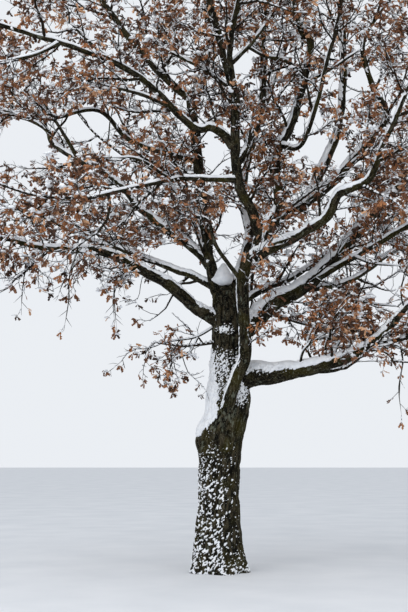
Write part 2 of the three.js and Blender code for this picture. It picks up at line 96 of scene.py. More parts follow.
def noise_at(points: Rows, scale: float, shift: float = 0.0) -> Rows:
    """Smooth noise from about -1 to 1, at a scale of bumps to a metre, moved on by a shift."""
    places = points * scale + shift
    return np.fromiter((noise.noise(place) for place in places.tolist()), float, len(places))


def bumps(places: Rows, *layers: tuple[float, float, float]) -> Rows:
    """Adds up layers of noise, each with its height, its scale and its shift."""
    return sum(height * noise_at(places, scale, shift) for height, scale, shift in layers)


def direction(heading: float, rise: float) -> Vector:
    """The unit direction at a heading round from +X and a rise from level, in degrees."""
    turn, tilt = math.radians(heading), math.radians(rise)
    return Vector((math.cos(tilt) * math.cos(turn), math.cos(tilt) * math.sin(turn), math.sin(tilt)))


def square_to(along: Vector) -> Vector:
    """A direction square to another, level where it can be."""
    return along.cross(UP if abs(along.z) < STEEP else Vector((0, 1, 0))).normalized()


def leaning(along: Vector, turn: float, lean: float) -> Vector:
    """The direction at a turn round another and a lean out from it, in degrees."""
    out = Quaternion(along, math.radians(turn)) @ square_to(along)
    return along * math.cos(math.radians(lean)) + out * math.sin(math.radians(lean))


def seeded(seed: int) -> Callable[[], float]:
    """The source's repeatable stream of numbers from 0 to 1, worked out in words of 32 bits.

    Args:
        seed: which stream.

    Returns:
        A function that gives the next number.
    """
    state, step, word = seed, 0x6D2B79F5, 0xFFFFFFFF

    def draw() -> float:
        """Steps on and mixes the bits."""
        nonlocal state
        state = (state + step) & word
        t = ((state ^ (state >> 15)) * (state | 1)) & word
        t ^= (t + (((t ^ (t >> 7)) * (t | 61)) & word)) & word
        return ((t ^ (t >> 14)) & word) / (word + 1)

    return draw


@dataclass
class Course:
    """A smooth line through points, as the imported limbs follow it."""

    points: list[Vector]

    def point(self, share: float) -> Vector:
        """The place at a share of the line's legs.

        Args:
            share: 0 at the start and 1 at the end.

        Returns:
            The place.
        """
        last = len(self.points) - 1
        place = min(max(share, 0.0), 1.0) * last
        k = min(int(place), last - 1)
        t = place - k
        here, after = self.points[k], self.points[k + 1]
        before = self.points[k - 1] if k else here * 2 - after
        beyond = self.points[k + 2] if k + 2 <= last else after * 2 - here
        leave, arrive = (after - before) / 2, (beyond - here) / 2
        bend = (after - here) * 3 - leave * 2 - arrive
        ease = (here - after) * 2 + leave + arrive
        return here + leave * t + bend * t**2 + ease * t**3

    def tangent(self, share: float) -> Vector:
        """The line's direction at a share of its legs."""
        step = 1e-4
        return (self.point(share + step) - self.point(share - step)).normalized()


# The trunk from the ground to its crotch: height, centre and radius of each ring.
TRUNK_TOP = 4.44
TRUNK_RINGS = (
    (0, -0.012, 0, 0.44), (0.09, -0.014, 0, 0.418), (0.42, -0.034, 0, 0.368), (0.79, -0.013, 0, 0.333),
    (1.2, -0.01, 0, 0.312), (1.68, 0.008, 0, 0.322), (1.98, 0.008, 0, 0.35), (2.16, 0.04, 0, 0.362),
    (2.38, 0.125, 0.005, 0.332), (2.6, 0.155, 0.015, 0.335), (2.9, 0.16, 0.03, 0.31),
    (3.5, 0.172, 0.06, 0.285), (4.05, 0.158, 0.08, 0.268), (4.33, 0.148, 0.095, 0.25),
    (TRUNK_TOP, 0.145, 0.1, 0.15),
)


def trunk_at(height: float) -> tuple[Vector, float]:
    """The trunk's centre and radius at a height.

    Args:
        height: metres above the ground.

    Returns:
        The centre and the radius.
    """
    z = [ring[0] for ring in TRUNK_RINGS]
    x, y, radius = (float(np.interp(height, z, [ring[i] for ring in TRUNK_RINGS])) for i in (1, 2, 3))
    return Vector((x, y, height)), radius


@dataclass
class Limb:
    """A bough: its carrier, the legs of the carrier already passed (or the height on the trunk), its
    radii at base and tip, and its own legs as length, heading and rise."""

    name: str
    carrier: str
    at: float
    base: float
    tip: float
    legs: tuple[tuple[float, float, float], ...]
    course: Course | None = None

    SWELL = 0.45  # share of its radius that its collar is wider
    RUN = 2.2  # radii that the collar takes to fade
    TAPER = 0.9  # power that it tapers by
    STEPS_A_LEG = 1.3

    @property
    def steps(self) -> int:
        """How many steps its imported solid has."""
        return max(3, round(len(self.legs) * self.STEPS_A_LEG))

    @property
    def length(self) -> float:
        """Its length along its legs."""
        return sum(leg[0] for leg in self.legs)

    def radius(self, share: float) -> float:
        """Its radius at a share of its length, with the collar where it leaves its carrier."""
        plain = self.tip + (self.base - self.tip) * (1 - share) ** self.TAPER
        return plain * (1 + self.SWELL * math.exp(-share * self.length / (self.RUN * self.base)))

    def place(self, start: Vector) -> None:
        """Lays its legs out from a start.

        Args:
            start: where it leaves its carrier.
        """
        points = [start.copy()]
        for length, heading, rise in self.legs:
            points.append(points[-1] + direction(heading, rise) * length)
        self.course = Course(points)

    def stations(self, count: int) -> list[tuple[Vector, float]]:
        """Places from base to tip with their radii, in a number of steps."""
        return [(self.course.point(k / count), self.radius(k / count)) for k in range(count + 1)]


LIMBS = (
    Limb("front_stem", "trunk", 2.15, 0.118, 0.086,
         ((0.63, -73, 49), (0.35, -38, 68), (0.4, -8, 71), (1.15, -112, 86), (0.45, -11, 58))),
    Limb("front_leader", "front_stem", 5, 0.074, 0.034,
         ((0.5, -148, 83), (0.75, -152, 65), (1.15, -98, 80), (0.3, -179, 76), (1.35, -137, 70),
          (1.2, -150, 74))),
    Limb("bough_long_left", "front_leader", 2.35, 0.066, 0.03,
         ((0.45, -166, 40), (0.35, -164, 0), (1, -154, 37), (0.85, -158, 20), (1.45, -162, 11))),
    Limb("bough_upper_middle", "front_leader", 2.15, 0.062, 0.03,
         ((0.35, 10, 56), (1.05, 49, 68), (1.1, 84, 79), (0.7, 60, 78))),
    Limb("bough_front_left", "front_leader", 1.9, 0.044, 0.024,
         ((0.85, -150, -6), (0.45, -140, -14), (1.35, -140, -20))),
    Limb("bough_front", "front_leader", 3.2, 0.05, 0.026, ((0.8, -98, 38), (0.85, -80, 32), (0.7, -92, 26))),
    Limb("rear_leader", "trunk", 4.31, 0.104, 0.08, ((0.45, -171, 53), (3, 145, 82))),
    Limb("bough_high_left", "rear_leader", 2, 0.066, 0.036,
         ((0.55, 179, 40), (0.95, 175, 50), (1.2, 172, 56), (0.6, 160, 62))),
    Limb("rear_leader_top", "rear_leader", 2, 0.06, 0.032,
         ((0.25, 29, 44), (1, 65, 69), (1.1, 109, 79), (0.9, 110, 84))),
    Limb("bough_great_left", "rear_leader", 1.04, 0.076, 0.032,
         ((0.4, 160, 48), (1.3, 154, 38), (0.7, 153, 49), (1.45, 156, 32), (0.45, 157, 57), (1, 156, 27))),
    Limb("bough_thin_left", "rear_leader", 1.66, 0.046, 0.024,
         ((1.15, -153, 8), (0.75, -152, 35), (0.75, -156, -18))),
    Limb("bough_back_left", "rear_leader", 1.3, 0.06, 0.028,
         ((0.8, 118, 42), (1.2, 128, 40), (1.1, 136, 30))),
    Limb("bough_rear_left", "trunk", 4.3, 0.066, 0.03,
         ((0.55, 168, 30), (0.4, 154, 23), (1.35, 149, 23), (0.7, 142, 19), (1.05, 155, 28))),
    Limb("bough_low_left", "trunk", 3.75, 0.106, 0.032,
         ((0.55, -160, 28), (0.65, -146, 31), (0.6, -150, 22), (0.7, -144, 16), (0.85, -143, -4),
          (0.6, -150, 6))),
    Limb("bough_low_right", "trunk", 2.965, 0.122, 0.08, ((1.05, -20, 4), (0.7, -27, 12), (0.5, -27, 18))),
    Limb("bough_low_right_fork", "bough_low_right", 3, 0.064, 0.034,
         ((0.5, -23, 40), (0.4, -41, 43), (0.7, -41, 26))),
    Limb("bough_great_right", "trunk", 3.51, 0.15, 0.038,
         ((0.9, 11, 43), (1.05, 15, 34), (2.1, 20, 47), (0.55, 27, 36))),
    Limb("bough_right_lower_front", "bough_great_right", 1.68, 0.052, 0.026,
         ((1.9, -34, 23), (0.55, -41, 19))),
    Limb("bough_right_lower_rear", "bough_great_right", 1.6, 0.05, 0.026,
         ((1.2, 37, 13), (1.3, 33, 31), (0.75, 30, 19))),
    Limb("bough_right_front", "front_stem", 4.9, 0.08, 0.03,
         ((1.1, -22, 22), (0.5, -39, 48), (0.5, -38, 16), (0.55, -44, 58), (0.8, -26, 64))),
    Limb("right_leader", "bough_right_front", 0.12, 0.072, 0.034,
         ((0.45, 31, 77), (0.35, 19, 62), (0.75, 129, 83), (0.75, 15, 65), (1.3, 18, 76), (0.35, 173, 64),
          (0.8, 147, 80), (0.8, 140, 82))),
    Limb("bough_right_long", "right_leader", 1.05, 0.078, 0.032,
         ((0.35, 29, 25), (0.9, 24, 36), (1.15, 22, 47), (0.6, 18, 56), (0.7, 143, 68), (0.8, 117, 78),
          (0.95, 17, 58))),
    Limb("bough_right_upright", "bough_right_long", 1.54, 0.064, 0.032,
         ((1.65, 46, 59), (1.6, 65, 74), (0.9, 90, 73))),
    Limb("bough_inner_right", "right_leader", 3.36, 0.044, 0.026, ((0.45, -35, 2), (1.55, -62, 59))),
    Limb("back_leader", "trunk", 4.26, 0.092, 0.036,
         ((0.75, 45, 60), (0.5, 58, 71), (0.75, 105, 65), (1.15, 70, 63), (2.3, 53, 63))),
    Limb("bough_back", "trunk", 4.15, 0.07, 0.03, ((0.6, 125, 56), (1.3, 118, 52), (1.2, 110, 34))),
    Limb("bough_back_right", "trunk", 4, 0.062, 0.026,
         ((0.7, 34, 34), (1.05, 47, 22), (1.1, 46, 30), (0.9, 48, 24))),
)
# Thin boughs that only the looks carry.
THIN_LIMBS = (
    Limb("thin_front", "front_stem", 3.9, 0.035, 0.02, ((0.7, -160, 51), (0.4, -146, 69), (0.4, -158, 7))),
    Limb("thin_right", "right_leader", 4.55, 0.035, 0.018,
         ((0.45, -139, 21), (0.55, -142, -2), (0.85, -138, 11))),
    Limb("thin_under_right", "bough_great_right", 0.95, 0.032, 0.014,
         ((0.45, 70, -6), (0.6, 8, -16), (0.6, -14, -8))),
    Limb("thin_under_front", "bough_right_lower_front", 0.5, 0.026, 0.012,
         ((0.5, -62, -22), (0.5, -40, -12))),
    Limb("thin_under_rear", "bough_right_lower_rear", 0.6, 0.026, 0.012, ((0.6, 5, -24), (0.6, -8, -10))),
    Limb("thin_low_right_near", "bough_low_right", 1.1, 0.022, 0.01, ((0.4, -75, 50), (0.45, -30, 32))),
    Limb("thin_low_right_far", "bough_low_right", 1.9, 0.022, 0.01, ((0.4, 40, 58), (0.5, 10, 30))),
    Limb("thin_low_right_tip", "bough_low_right", 2.9, 0.02, 0.01, ((0.35, -10, -10), (0.3, -20, -60))),
    Limb("thin_low_right_inner", "bough_low_right", 1.45, 0.02, 0.009,
         ((0.35, 140, 66), (0.4, 60, 52), (0.4, -10, 44))),
    Limb("thin_low_right_middle", "bough_low_right", 1.75, 0.02, 0.009,
         ((0.3, -100, 62), (0.4, -40, 56), (0.4, 0, 34))),
    Limb("thin_low_right_outer", "bough_low_right", 2.35, 0.02, 0.009,
         ((0.3, 60, 70), (0.4, 120, 56), (0.35, 60, 30))),
    Limb("thin_low_spray", "trunk", 3.95, 0.02, 0.009,
         ((0.57, -168, -34), (0.34, -176, -13), (0.45, -170, -8))),
    Limb("thin_low_spray_down", "thin_low_spray", 1.05, 0.013, 0.007,
         ((0.33, -160, -60), (0.2, -175, -15), (0.2, -150, -50))),
    Limb("thin_top_middle", "front_leader", 3.6, 0.034, 0.016,
         ((0.6, 172, 38), (0.7, 165, 32), (0.5, 150, 40))),
    Limb("thin_high_inner", "bough_high_left", 1.2, 0.032, 0.015,
         ((0.5, 20, 58), (0.5, 95, 62), (0.4, 40, 50))),
    Limb("stub_low_right", "bough_low_right", 1.25, 0.052, 0.022,
         ((0.3, -22, -6), (0.22, -24, 4), (0.1, -25, 30))),
    Limb("thin_long_left_a", "bough_long_left", 3.6, 0.034, 0.016, ((0.54, 158, 42), (0.6, 159, 46))),
    Limb("thin_long_left_b", "bough_long_left", 2.46, 0.034, 0.016, ((0.6, -155, 13), (0.56, -153, 3))),
    Limb("thin_long_left_c", "bough_long_left", 4.36, 0.03, 0.014, ((0.5, -142, -35), (0.45, -143, -23))),
    Limb("thin_high_left", "bough_high_left", 1.78, 0.034, 0.016, ((0.44, 140, 45), (0.36, 140, 29))),
    Limb("thin_top_left", "bough_high_left", 2.37, 0.034, 0.016, ((0.67, 155, 27), (0.65, 156, 20))),
    Limb("thin_top_outer", "bough_high_left", 2.75, 0.032, 0.015,
         ((0.55, 172, 40), (0.55, -178, 34), (0.5, 165, 28))),
    Limb("thin_great_left", "bough_great_left", 3.6, 0.036, 0.016, ((0.69, -157, 57), (0.71, -159, 54))),
    Limb("thin_rear_left", "bough_rear_left", 4.7, 0.026, 0.012, ((0.54, -23, -20), (0.5, -23, 1))),
    Limb("thin_front_mid", "bough_front_left", 1.92, 0.026, 0.014, ((0.53, -161, 29), (0.42, -159, -2))),
    Limb("thin_leader", "front_leader", 4.2, 0.034, 0.016, ((0.5, -20, 40), (0.6, 10, 56), (0.5, -10, 60))),
    Limb("thin_leader_right", "right_leader", 4.46, 0.034, 0.016, ((0.71, 20, 34), (0.65, 23, 37))),
    Limb("thin_right_long", "bough_right_long", 2.4, 0.034, 0.016,
         ((0.6, -30, 30), (0.6, -20, 44), (0.5, -30, 30))),
)
# Twigs that hang free under the crown.
HANGING = (
    Limb("hanging_left", "bough_low_left", 3.4, 0.011, 0.006,
         ((0.3, -130, -50), (0.4, -95, -80), (0.4, 30, -84))),
    Limb("hanging_far_left", "bough_low_left", 4.05, 0.011, 0.006,
         ((0.35, -150, -30), (0.35, 175, -52), (0.25, -170, -70))),
    Limb("hanging_middle", "bough_low_left", 4.45, 0.011, 0.006,
         ((0.4, -120, -62), (0.45, -100, -84), (0.35, 150, -80))),
    Limb("hanging_outer", "bough_low_left", 5.1, 0.011, 0.006,
         ((0.35, -170, -45), (0.35, -140, -78), (0.3, 120, -84))),
    Limb("hanging_inner", "bough_low_left", 3, 0.011, 0.006,
         ((0.3, -170, -30), (0.35, -130, -60), (0.35, -60, -82))),
    Limb("hanging_right", "bough_low_right", 3, 0.013, 0.006,
         ((0.45, -14, 4), (0.25, 0, -70), (0.4, 170, -80), (0.4, 40, -84))),
)


@dataclass
class Mass:
    """A mass of twigs: its bough (or the trunk with a height and heading), the radius of its space,
    how far its stem turns up and out in degrees, the draw that it branches by, and the length of its
    stem over its reach."""

    name: str
    on: str
    reach: float
    lift: float
    seed: int
    out: float = 0
    long: float = 1.35
    at: float = 0
    heading: float = 0
    middle: Vector | None = None
    thick: float = 0
    course: Course | None = None

    STRAIGHT = 0.06  # how far its stem runs on before it turns
    TIP = 0.012  # radius of the stem's tip
    AT_TIP = 0.94  # radius of its foot over its bough's tip, and the same where it shares the tip
    BESIDE_FORK = 0.48
    ON_TRUNK = 0.026  # radius of its foot on the trunk
    TRUNK_MIDDLE = 0.75  # how far its middle is off the trunk, over its reach
    BEND_UP = 12  # degrees that the stem bends at its elbow
    BEND_OUT = 8
    STEEPEST = 88

    @classmethod
    def steer(cls, along: Vector, lift: float, out: float) -> Vector:
        """Bends a direction.

        Args:
            along: the direction.
            lift: degrees up.
            out: degrees sideways.

        Returns:
            The bent direction.
        """
        heading = math.degrees(math.atan2(along.y, along.x)) + out
        rise = math.degrees(math.asin(max(-1.0, min(1.0, along.z)))) + lift
        return direction(heading, min(rise, cls.STEEPEST))

    def place(self, limbs: dict[str, Limb]) -> None:
        """Lays out its stem and the middle of its space.

        Args:
            limbs: the placed limbs by name.
        """
        half = self.long * self.reach / 2
        carrier = limbs.get(self.on)
        if carrier:
            (near, _), (start, _) = carrier.stations(carrier.steps)[-2:]
            along = (start - near).normalized()
            ahead = self.steer(along, self.lift, self.out)
            self.middle = start + ahead * half
            self.thick = carrier.tip * (self.BESIDE_FORK if self.out else self.AT_TIP)
        else:
            centre, radius = trunk_at(self.at)
            along = ahead = direction(self.heading, self.lift)
            start = centre + along * radius / 2
            self.middle = centre + along * (radius + self.reach * self.TRUNK_MIDDLE)
            self.thick = self.ON_TRUNK
        first = start + along * self.STRAIGHT
        elbow = first + ahead * half
        end = elbow + self.steer(ahead, self.BEND_UP, self.BEND_OUT) * half
        self.course = Course([start, first, elbow, end])

    def stations(self) -> list[tuple[Vector, float]]:
        """Places along its stem with their radii."""
        thin = self.TIP - self.thick
        return [(self.course.point(k / 3), self.thick + thin * max(0, (k - 1) / 2)) for k in range(4)]


# Each leader or bough with the reach and the lift of the mass on its tip, and how far the mass turns
# out and how long its stem is where it shares the tip. Their seeds run on in this order.
ON_TIPS = (
    ("front_leader", 1.35, 4), ("bough_long_left", 1.35, 6), ("bough_upper_middle", 1.15, 0),
    ("bough_front_left", 1.25, 12), ("bough_front", 1.35, 4), ("bough_high_left", 1.4, 0),
    ("rear_leader_top", 1.35, 0), ("bough_great_left", 1.45, -4), ("bough_thin_left", 1.15, 22),
    ("bough_back_left", 1.45, 8), ("bough_rear_left", 1.4, -10), ("bough_low_left", 1.35, -4),
    ("bough_low_right", 1.25, -3, 32, 2.1), ("bough_low_right_fork", 1.25, 0),
    ("bough_great_right", 1.35, 4), ("bough_right_lower_front", 1.25, 0),
    ("bough_right_lower_rear", 1.3, 0), ("bough_right_front", 1.35, 0), ("right_leader", 1.35, 0),
    ("bough_right_long", 1.35, 4), ("bough_right_upright", 1.2, 0), ("bough_inner_right", 1.2, 4),
    ("back_leader", 1.45, 0), ("bough_back", 1.5, 8), ("bough_back_right", 1.45, 10),
)
FIRST_SEED = 11
MASSES = (
    *(Mass("foliage_" + on.removeprefix("bough_").removesuffix("_top"), on, reach, lift,
           FIRST_SEED + k, *shared) for k, (on, reach, lift, *shared) in enumerate(ON_TIPS)),
    Mass("foliage_low_spray", "trunk", 0.78, -8, FIRST_SEED + len(ON_TIPS), at=3.56, heading=-168),
)


@dataclass(frozen=True)
class Patch:
    """A part of the crown as it is seen from the eye, as an ellipse in the plane of the trunk, and how
    strongly it counts."""

    x: float
    z: float
    wide: float
    tall: float
    share: float = 1

    def covers(self, place: Vector, size: float = 1) -> bool:
        """Tells whether a place shows inside the patch.

        Args:
            place: a place in the crown.
            size: the part of the patch that counts, over the whole.

        Returns:
            True where it does.
        """
        share = -EYE.y / (place.y - EYE.y)
        x = EYE.x + (place.x - EYE.x) * share
        z = EYE.z + (place.z - EYE.z) * share
        return ((x - self.x) / self.wide) ** 2 + ((z - self.z) / self.tall) ** 2 < size * size


SKY_GAPS = (
    Patch(-2.14, 7.1, 0.42, 0.33), Patch(-3.15, 6.84, 0.42, 0.42), Patch(-0.08, 6.63, 0.2, 0.27),
    Patch(-0.74, 4.95, 0.4, 0.18), Patch(0.22, 5.5, 0.19, 0.26), Patch(1.6, 6.71, 0.2, 0.29),
    Patch(1.97, 6.63, 0.16, 0.21), Patch(0.39, 8.2, 0.2, 0.17), Patch(2.28, 7.86, 0.2, 0.17),
    Patch(0.08, 3.6, 0.42, 1.65), Patch(1.05, 3.1, 0.8, 0.24),
)
# Where the crown is thin, with the share of the twigs that it lacks, where leaves hang thickest, and
# the fringe that is nearly bare.
THIN_PATCHES = (
    Patch(1.4, 8.7, 1.6, 1.1, 0.2), Patch(1.4, 8.8, 0.8, 0.5, 0.3), Patch(-1.05, 6.2, 1, 0.7, 0.2),
    Patch(-1.6, 7.4, 0.7, 0.4, 0.2), Patch(2.45, 5.2, 0.9, 0.9, 0.2), Patch(2.75, 4.45, 0.35, 0.35, 0.85),
    Patch(1.7, 4.8, 0.9, 0.4, 0.45), Patch(-0.85, 4.28, 0.6, 0.45, 0.8), Patch(-0.8, 7.8, 0.6, 0.6, 0.25),
)
LEAFY_PATCHES = (
    Patch(1.7, 3.8, 0.9, 0.4), Patch(2.7, 6.2, 0.5, 0.5), Patch(-3.1, 8.7, 0.6, 0.6),
    Patch(-2.1, 6.4, 0.3, 0.25), Patch(-3, 6, 0.6, 0.3),
)
FRINGE = Patch(-2.55, 4.3, 1.35, 0.62)


def inside(patches: tuple[Patch, ...], place: Vector, size: float = 1) -> bool:
    """Tells whether a place shows inside one of the patches, or inside that part of its size."""
    return any(patch.covers(place, size) for patch in patches)


class Finish:
    """A procedural material that is built from nodes."""

    SHINE = 0.1  # level of its reflections, 0.5 for a plain dielectric

    def __init__(self, name: str) -> None:
        """Starts the material.

        Args:
            name: its name.
        """
        self.material = bpy.data.materials.new(name)
        self.material.use_nodes = True
        self.tree = self.material.node_tree
        self.shader = self.tree.nodes["Principled BSDF"]
        self.place = self.node("TexCoord").outputs["Object"]

    def node(self, kind: str, inputs: dict | None = None, **settings) -> Node:
        """Adds a node.

        Args:
            kind: its type after ShaderNode.
            inputs: values or sockets for its inputs, by name or number.
            settings: its own properties.

        Returns:
            The node.
        """
        made = self.tree.nodes.new("ShaderNode" + kind)
        for key, value in settings.items():
            setattr(made, key, value)
        for key, value in (inputs or {}).items():
            if isinstance(value, NodeSocket):
                self.tree.links.new(value, made.inputs[key])
            else:
                made.inputs[key].default_value = value
        return made

    def ramp(self, factor: NodeSocket, *stops: tuple[float, tuple]) -> NodeSocket:
        """Adds a colour ramp.

        Args:
            factor: what drives it.
            stops: positions with their colours, of three numbers.

        Returns:
            Its colour.
        """
        made = self.node("ValToRGB", {"Fac": factor})
        elements = made.color_ramp.elements
        while len(elements) < len(stops):
            elements.new(0.5)
        for element, (position, colour) in zip(elements, stops):
            element.position = position
            element.color = (*colour, 1)
        return made.outputs["Color"]

    def noise(self, place: NodeSocket, scale: float, detail: float, roughness: float = 0.5) -> NodeSocket:
        """Adds noise at a place: bumps to a metre, finer layers, and how strong those are."""
        inputs = {"Vector": place, "Scale": scale, "Detail": detail, "Roughness": roughness}
        return self.node("TexNoise", inputs).outputs["Fac"]

    def part(self, value: NodeSocket, low: float, high: float, most: float) -> NodeSocket:
        """Turns a value into a share: none at low, and the most at high."""
        inputs = {"Value": value, "From Min": low, "From Max": high, "To Max": most}
        return self.node("MapRange", inputs).outputs[0]

    def math(self, operation: str, one: NodeSocket, two: NodeSocket) -> NodeSocket:
        """Works one value out from two."""
        return self.node("Math", {0: one, 1: two}, operation=operation).outputs[0]

    def mix(self, factor: NodeSocket, below: NodeSocket, above: tuple) -> NodeSocket:
        """Lays a colour over another by a factor."""
        inputs = {"Factor": factor, 6: below, 7: (*above, 1)}
        return self.node("Mix", inputs, data_type="RGBA").outputs[2]

    def bump(self, height: NodeSocket, strength: float, distance: float) -> None:
        """Gives the shader a bump from a height field, with its strength and its full height."""
        made = self.node("Bump", {"Height": height, "Strength": strength, "Distance": distance})
        self.tree.links.new(made.outputs["Normal"], self.shader.inputs["Normal"])

    def finish(self, colour: NodeSocket, roughness: float) -> Material:
        """Sets the colour, the roughness and the shine.

        Args:
            colour: its colour.
            roughness: of the whole surface.

        Returns:
            The finished material.
        """
        self.tree.links.new(colour, self.shader.inputs["Base Color"])
        self.shader.inputs["Roughness"].default_value = roughness
        self.shader.inputs["Specular IOR Level"].default_value = self.SHINE
        return self.material

    def mottled(self, mottle: tuple, dark: tuple, pale: tuple, bump: tuple, roughness: float) -> Material:
        """Colours and bumps the surface by one noise.

        Args:
            mottle: the noise's scale and detail.
            dark: the noise where it is darkest, with that colour.
            pale: the same where it is palest.
            bump: strength and full height.
            roughness: of the whole surface.

        Returns:
            The finished material.
        """
        height = self.noise(self.place, *mottle)
        self.bump(height, *bump)
        return self.finish(self.ramp(height, dark, pale), roughness)


@dataclass(frozen=True)
class BarkFinish:
    """Furrowed bark with moss and grey lichen, near black in its furrows: partly the bark's own dark furrows,
    partly painted shade in them.
    """

    # partly painted shade: the furrow colour, near black, darkens the floors of the furrows that the relief
    # cuts, where shade falls
    furrow: tuple = (0.002, 0.0016, 0.001)
    ridge: tuple = (0.013, 0.0102, 0.0056)
    worn: tuple = (0.05, 0.041, 0.025)
    moss: tuple = (0.038, 0.032, 0.006)
    lichen: tuple = (0.15, 0.16, 0.12)
    speck: tuple = (0.14, 0.145, 0.1)
    roughness: float = 0.92
    # Where the three bark colours lie, from the floor of a furrow to the top of a ridge.
    levels: tuple = (0.06, 0.34, 0.58)
    # Noises: scale, detail and, where it isn't the usual one, roughness.
    fine: tuple = (42.0, 6.0, 0.65)
    damp: tuple = (2.6, 4.0, 0.6)
    spots: tuple = (17.0, 4.0)
    dots: tuple = (62.0, 2.0)
    # The noise at which each starts and is full, and its share there.
    mossy: tuple = (0.5, 0.68, 0.75)
    spotted: tuple = (0.62, 0.7, 0.6)
    dotted: tuple = (0.6, 0.68, 0.7)
    tall: tuple = (1.0, 1.0, 0.4)  # the lichen's spots are taller than wide
    # Heights between which the swelling holds more lichen, most in the middle, and how much more.
    swelling: tuple = (1.7, 2.3, 2.9)
    swelling_more: float = 0.07
    bump: tuple = (0.8, 0.012)

    def material(self) -> Material:
        """Builds the material from the mesh's grain and ridge attributes.

        Returns:
            The material.
        """
        made = Finish("oak_bark")
        grain = made.node("Attribute", attribute_name="grain").outputs["Vector"]
        ridge = made.node("Attribute", attribute_name="ridge").outputs["Fac"]
        broken = made.math("MULTIPLY", ridge, made.noise(grain, *self.fine))
        # the colours run from near black on the furrow floors, partly painted shade, to the palest ridge tops
        colour = made.ramp(broken, *zip(self.levels, (self.furrow, self.ridge, self.worn)))
        colour = made.mix(made.part(made.noise(made.place, *self.damp), *self.mossy), colour, self.moss)
        tall = made.node("Mapping", {"Vector": made.place, "Scale": self.tall}).outputs["Vector"]
        height = made.node("SeparateXYZ", {0: made.place}).outputs["Z"]
        low, middle, high = self.swelling
        below = made.part(height, low, middle, self.swelling_more)
        above = made.part(height, middle, high, -self.swelling_more)
        spots = made.math("ADD", made.noise(tall, *self.spots), made.math("ADD", below, above))
        colour = made.mix(made.part(spots, *self.spotted), colour, self.lichen)
        colour = made.mix(made.part(made.noise(made.place, *self.dots), *self.dotted), colour, self.speck)
        made.bump(broken, *self.bump)
        return made.finish(colour, self.roughness)


@dataclass(frozen=True)
class TwigFinish:
    """Thin bark of branches and twigs."""

    dark: tuple = (0.35, (0.008, 0.006, 0.004))
    pale: tuple = (0.7, (0.034, 0.026, 0.016))
    mottle: tuple = (18.0, 3.0)
    bump: tuple = (0.3, 0.003)
    roughness: float = 0.85

    def material(self) -> Material:
        """Builds the material."""
        return Finish("oak_twig").mottled(self.mottle, self.dark, self.pale, self.bump, self.roughness)


@dataclass(frozen=True)
class LeafFinish:
    """One of the dead leaves' tints."""

    name: str
    tint: tuple
    shaded: tuple
    levels: tuple = (0.38, 0.62)
    mottle: tuple = (26.0, 2.0)
    bump: tuple = (0.25, 0.004)
    roughness: float = 0.62

    def material(self) -> Material:
        """Builds the material."""
        stops = zip(self.levels, (self.shaded, self.tint))
        return Finish("dead_leaf_" + self.name).mottled(self.mottle, *stops, self.bump, self.roughness)


@dataclass(frozen=True)
class SnowFinish:
    """Packed fresh snow with a grainy surface, painted a shaded grey-blue in the hollows of its soft noise.
    """

    # painted shade: a greyer blue than the white, laid in the hollows of the soft noise that also lifts the
    # bump
    painted_shade_hollow: tuple = (0.35, (0.82, 0.845, 0.885))
    white: tuple = (0.6, (0.92, 0.935, 0.955))
    soft: tuple = (12.0, 5.0)
    grains: tuple = (160.0, 3.0)
    bump: tuple = (0.35, 0.006)
    roughness: float = 0.75

    def material(self) -> Material:
        """Builds the material.

        Returns:
            The material.
        """
        made = Finish("snow")
        soft = made.noise(made.place, *self.soft)
        made.bump(made.math("ADD", soft, made.noise(made.place, *self.grains)), *self.bump)
        # the colour runs from the painted shade in the hollows to the white
        return made.finish(made.ramp(soft, self.painted_shade_hollow, self.white), self.roughness)


LEAF_FINISHES = (
    LeafFinish("russet", (0.42, 0.185, 0.08), (0.26, 0.112, 0.052)),
    LeafFinish("copper", (0.31, 0.14, 0.068), (0.19, 0.085, 0.045)),
    # umber: partly the dark brown of dead leaves, partly painted shade, dealt out at random to stand in for
    # leaves in shadow
    LeafFinish("umber", (0.085, 0.046, 0.031), (0.045, 0.026, 0.018)),
    # fawn: partly the pale tan of dead leaves, partly a painted highlight, dealt out at random to stand in
    # for leaves in light
    LeafFinish("fawn", (0.7, 0.42, 0.25), (0.46, 0.25, 0.14)),
    LeafFinish("chestnut", (0.2, 0.093, 0.05), (0.11, 0.054, 0.034)),
)


class Shapes:
    """Joined mesh arrays: vertices and faces of any number of corners."""

    def __init__(self) -> None:
        """Starts empty."""
        self.vertices: list[Rows] = []
        self.faces: list[Rows] = []
        self.count = 0

    def add(self, vertices: Rows, *faces: Rows) -> None:
        """Adds vertices with faces that count from the first of them.

        Args:
            vertices: the places.
            faces: arrays of faces, each of one number of corners.
        """
        self.vertices.append(vertices.reshape(-1, 3))
        self.faces.extend(face + self.count for face in faces if len(face))
        self.count += len(self.vertices[-1])

    def copies(self, vertices: Rows, *faces: Rows) -> None:
        """Adds many shapes that share their faces.

        Args:
            vertices: shapes by vertices by three.
            faces: the faces of one shape.
        """
        count, size = vertices.shape[:2]
        offsets = (np.arange(count) * size)[:, None, None]
        self.add(vertices, *((face[None] + offsets).reshape(-1, face.shape[1]) for face in faces))

    def piece(self, name: str, finish: Material, slot: Slot, smooth: bool = True) -> Object:
        """Makes the mesh and lets it ride on the tree.

        Args:
            name: the piece's name.
            finish: its material.
            slot: its slot; not used.
            smooth: whether its faces are shaded smooth.

        Returns:
            The object.
        """
        mesh = bpy.data.meshes.new(name)
        places = np.concatenate(self.vertices)
        places[:, 2] = np.maximum(places[:, 2], 0)
        mesh.from_pydata(places.tolist(), [], [face for faces in self.faces for face in faces.tolist()])
        mesh.polygons.foreach_set("use_smooth", np.full(len(mesh.polygons), smooth))
        mesh.update()
        made = bpy.data.objects.new(name, mesh)
        bpy.context.scene.collection.objects.link(made)
        return dress(made, finish)


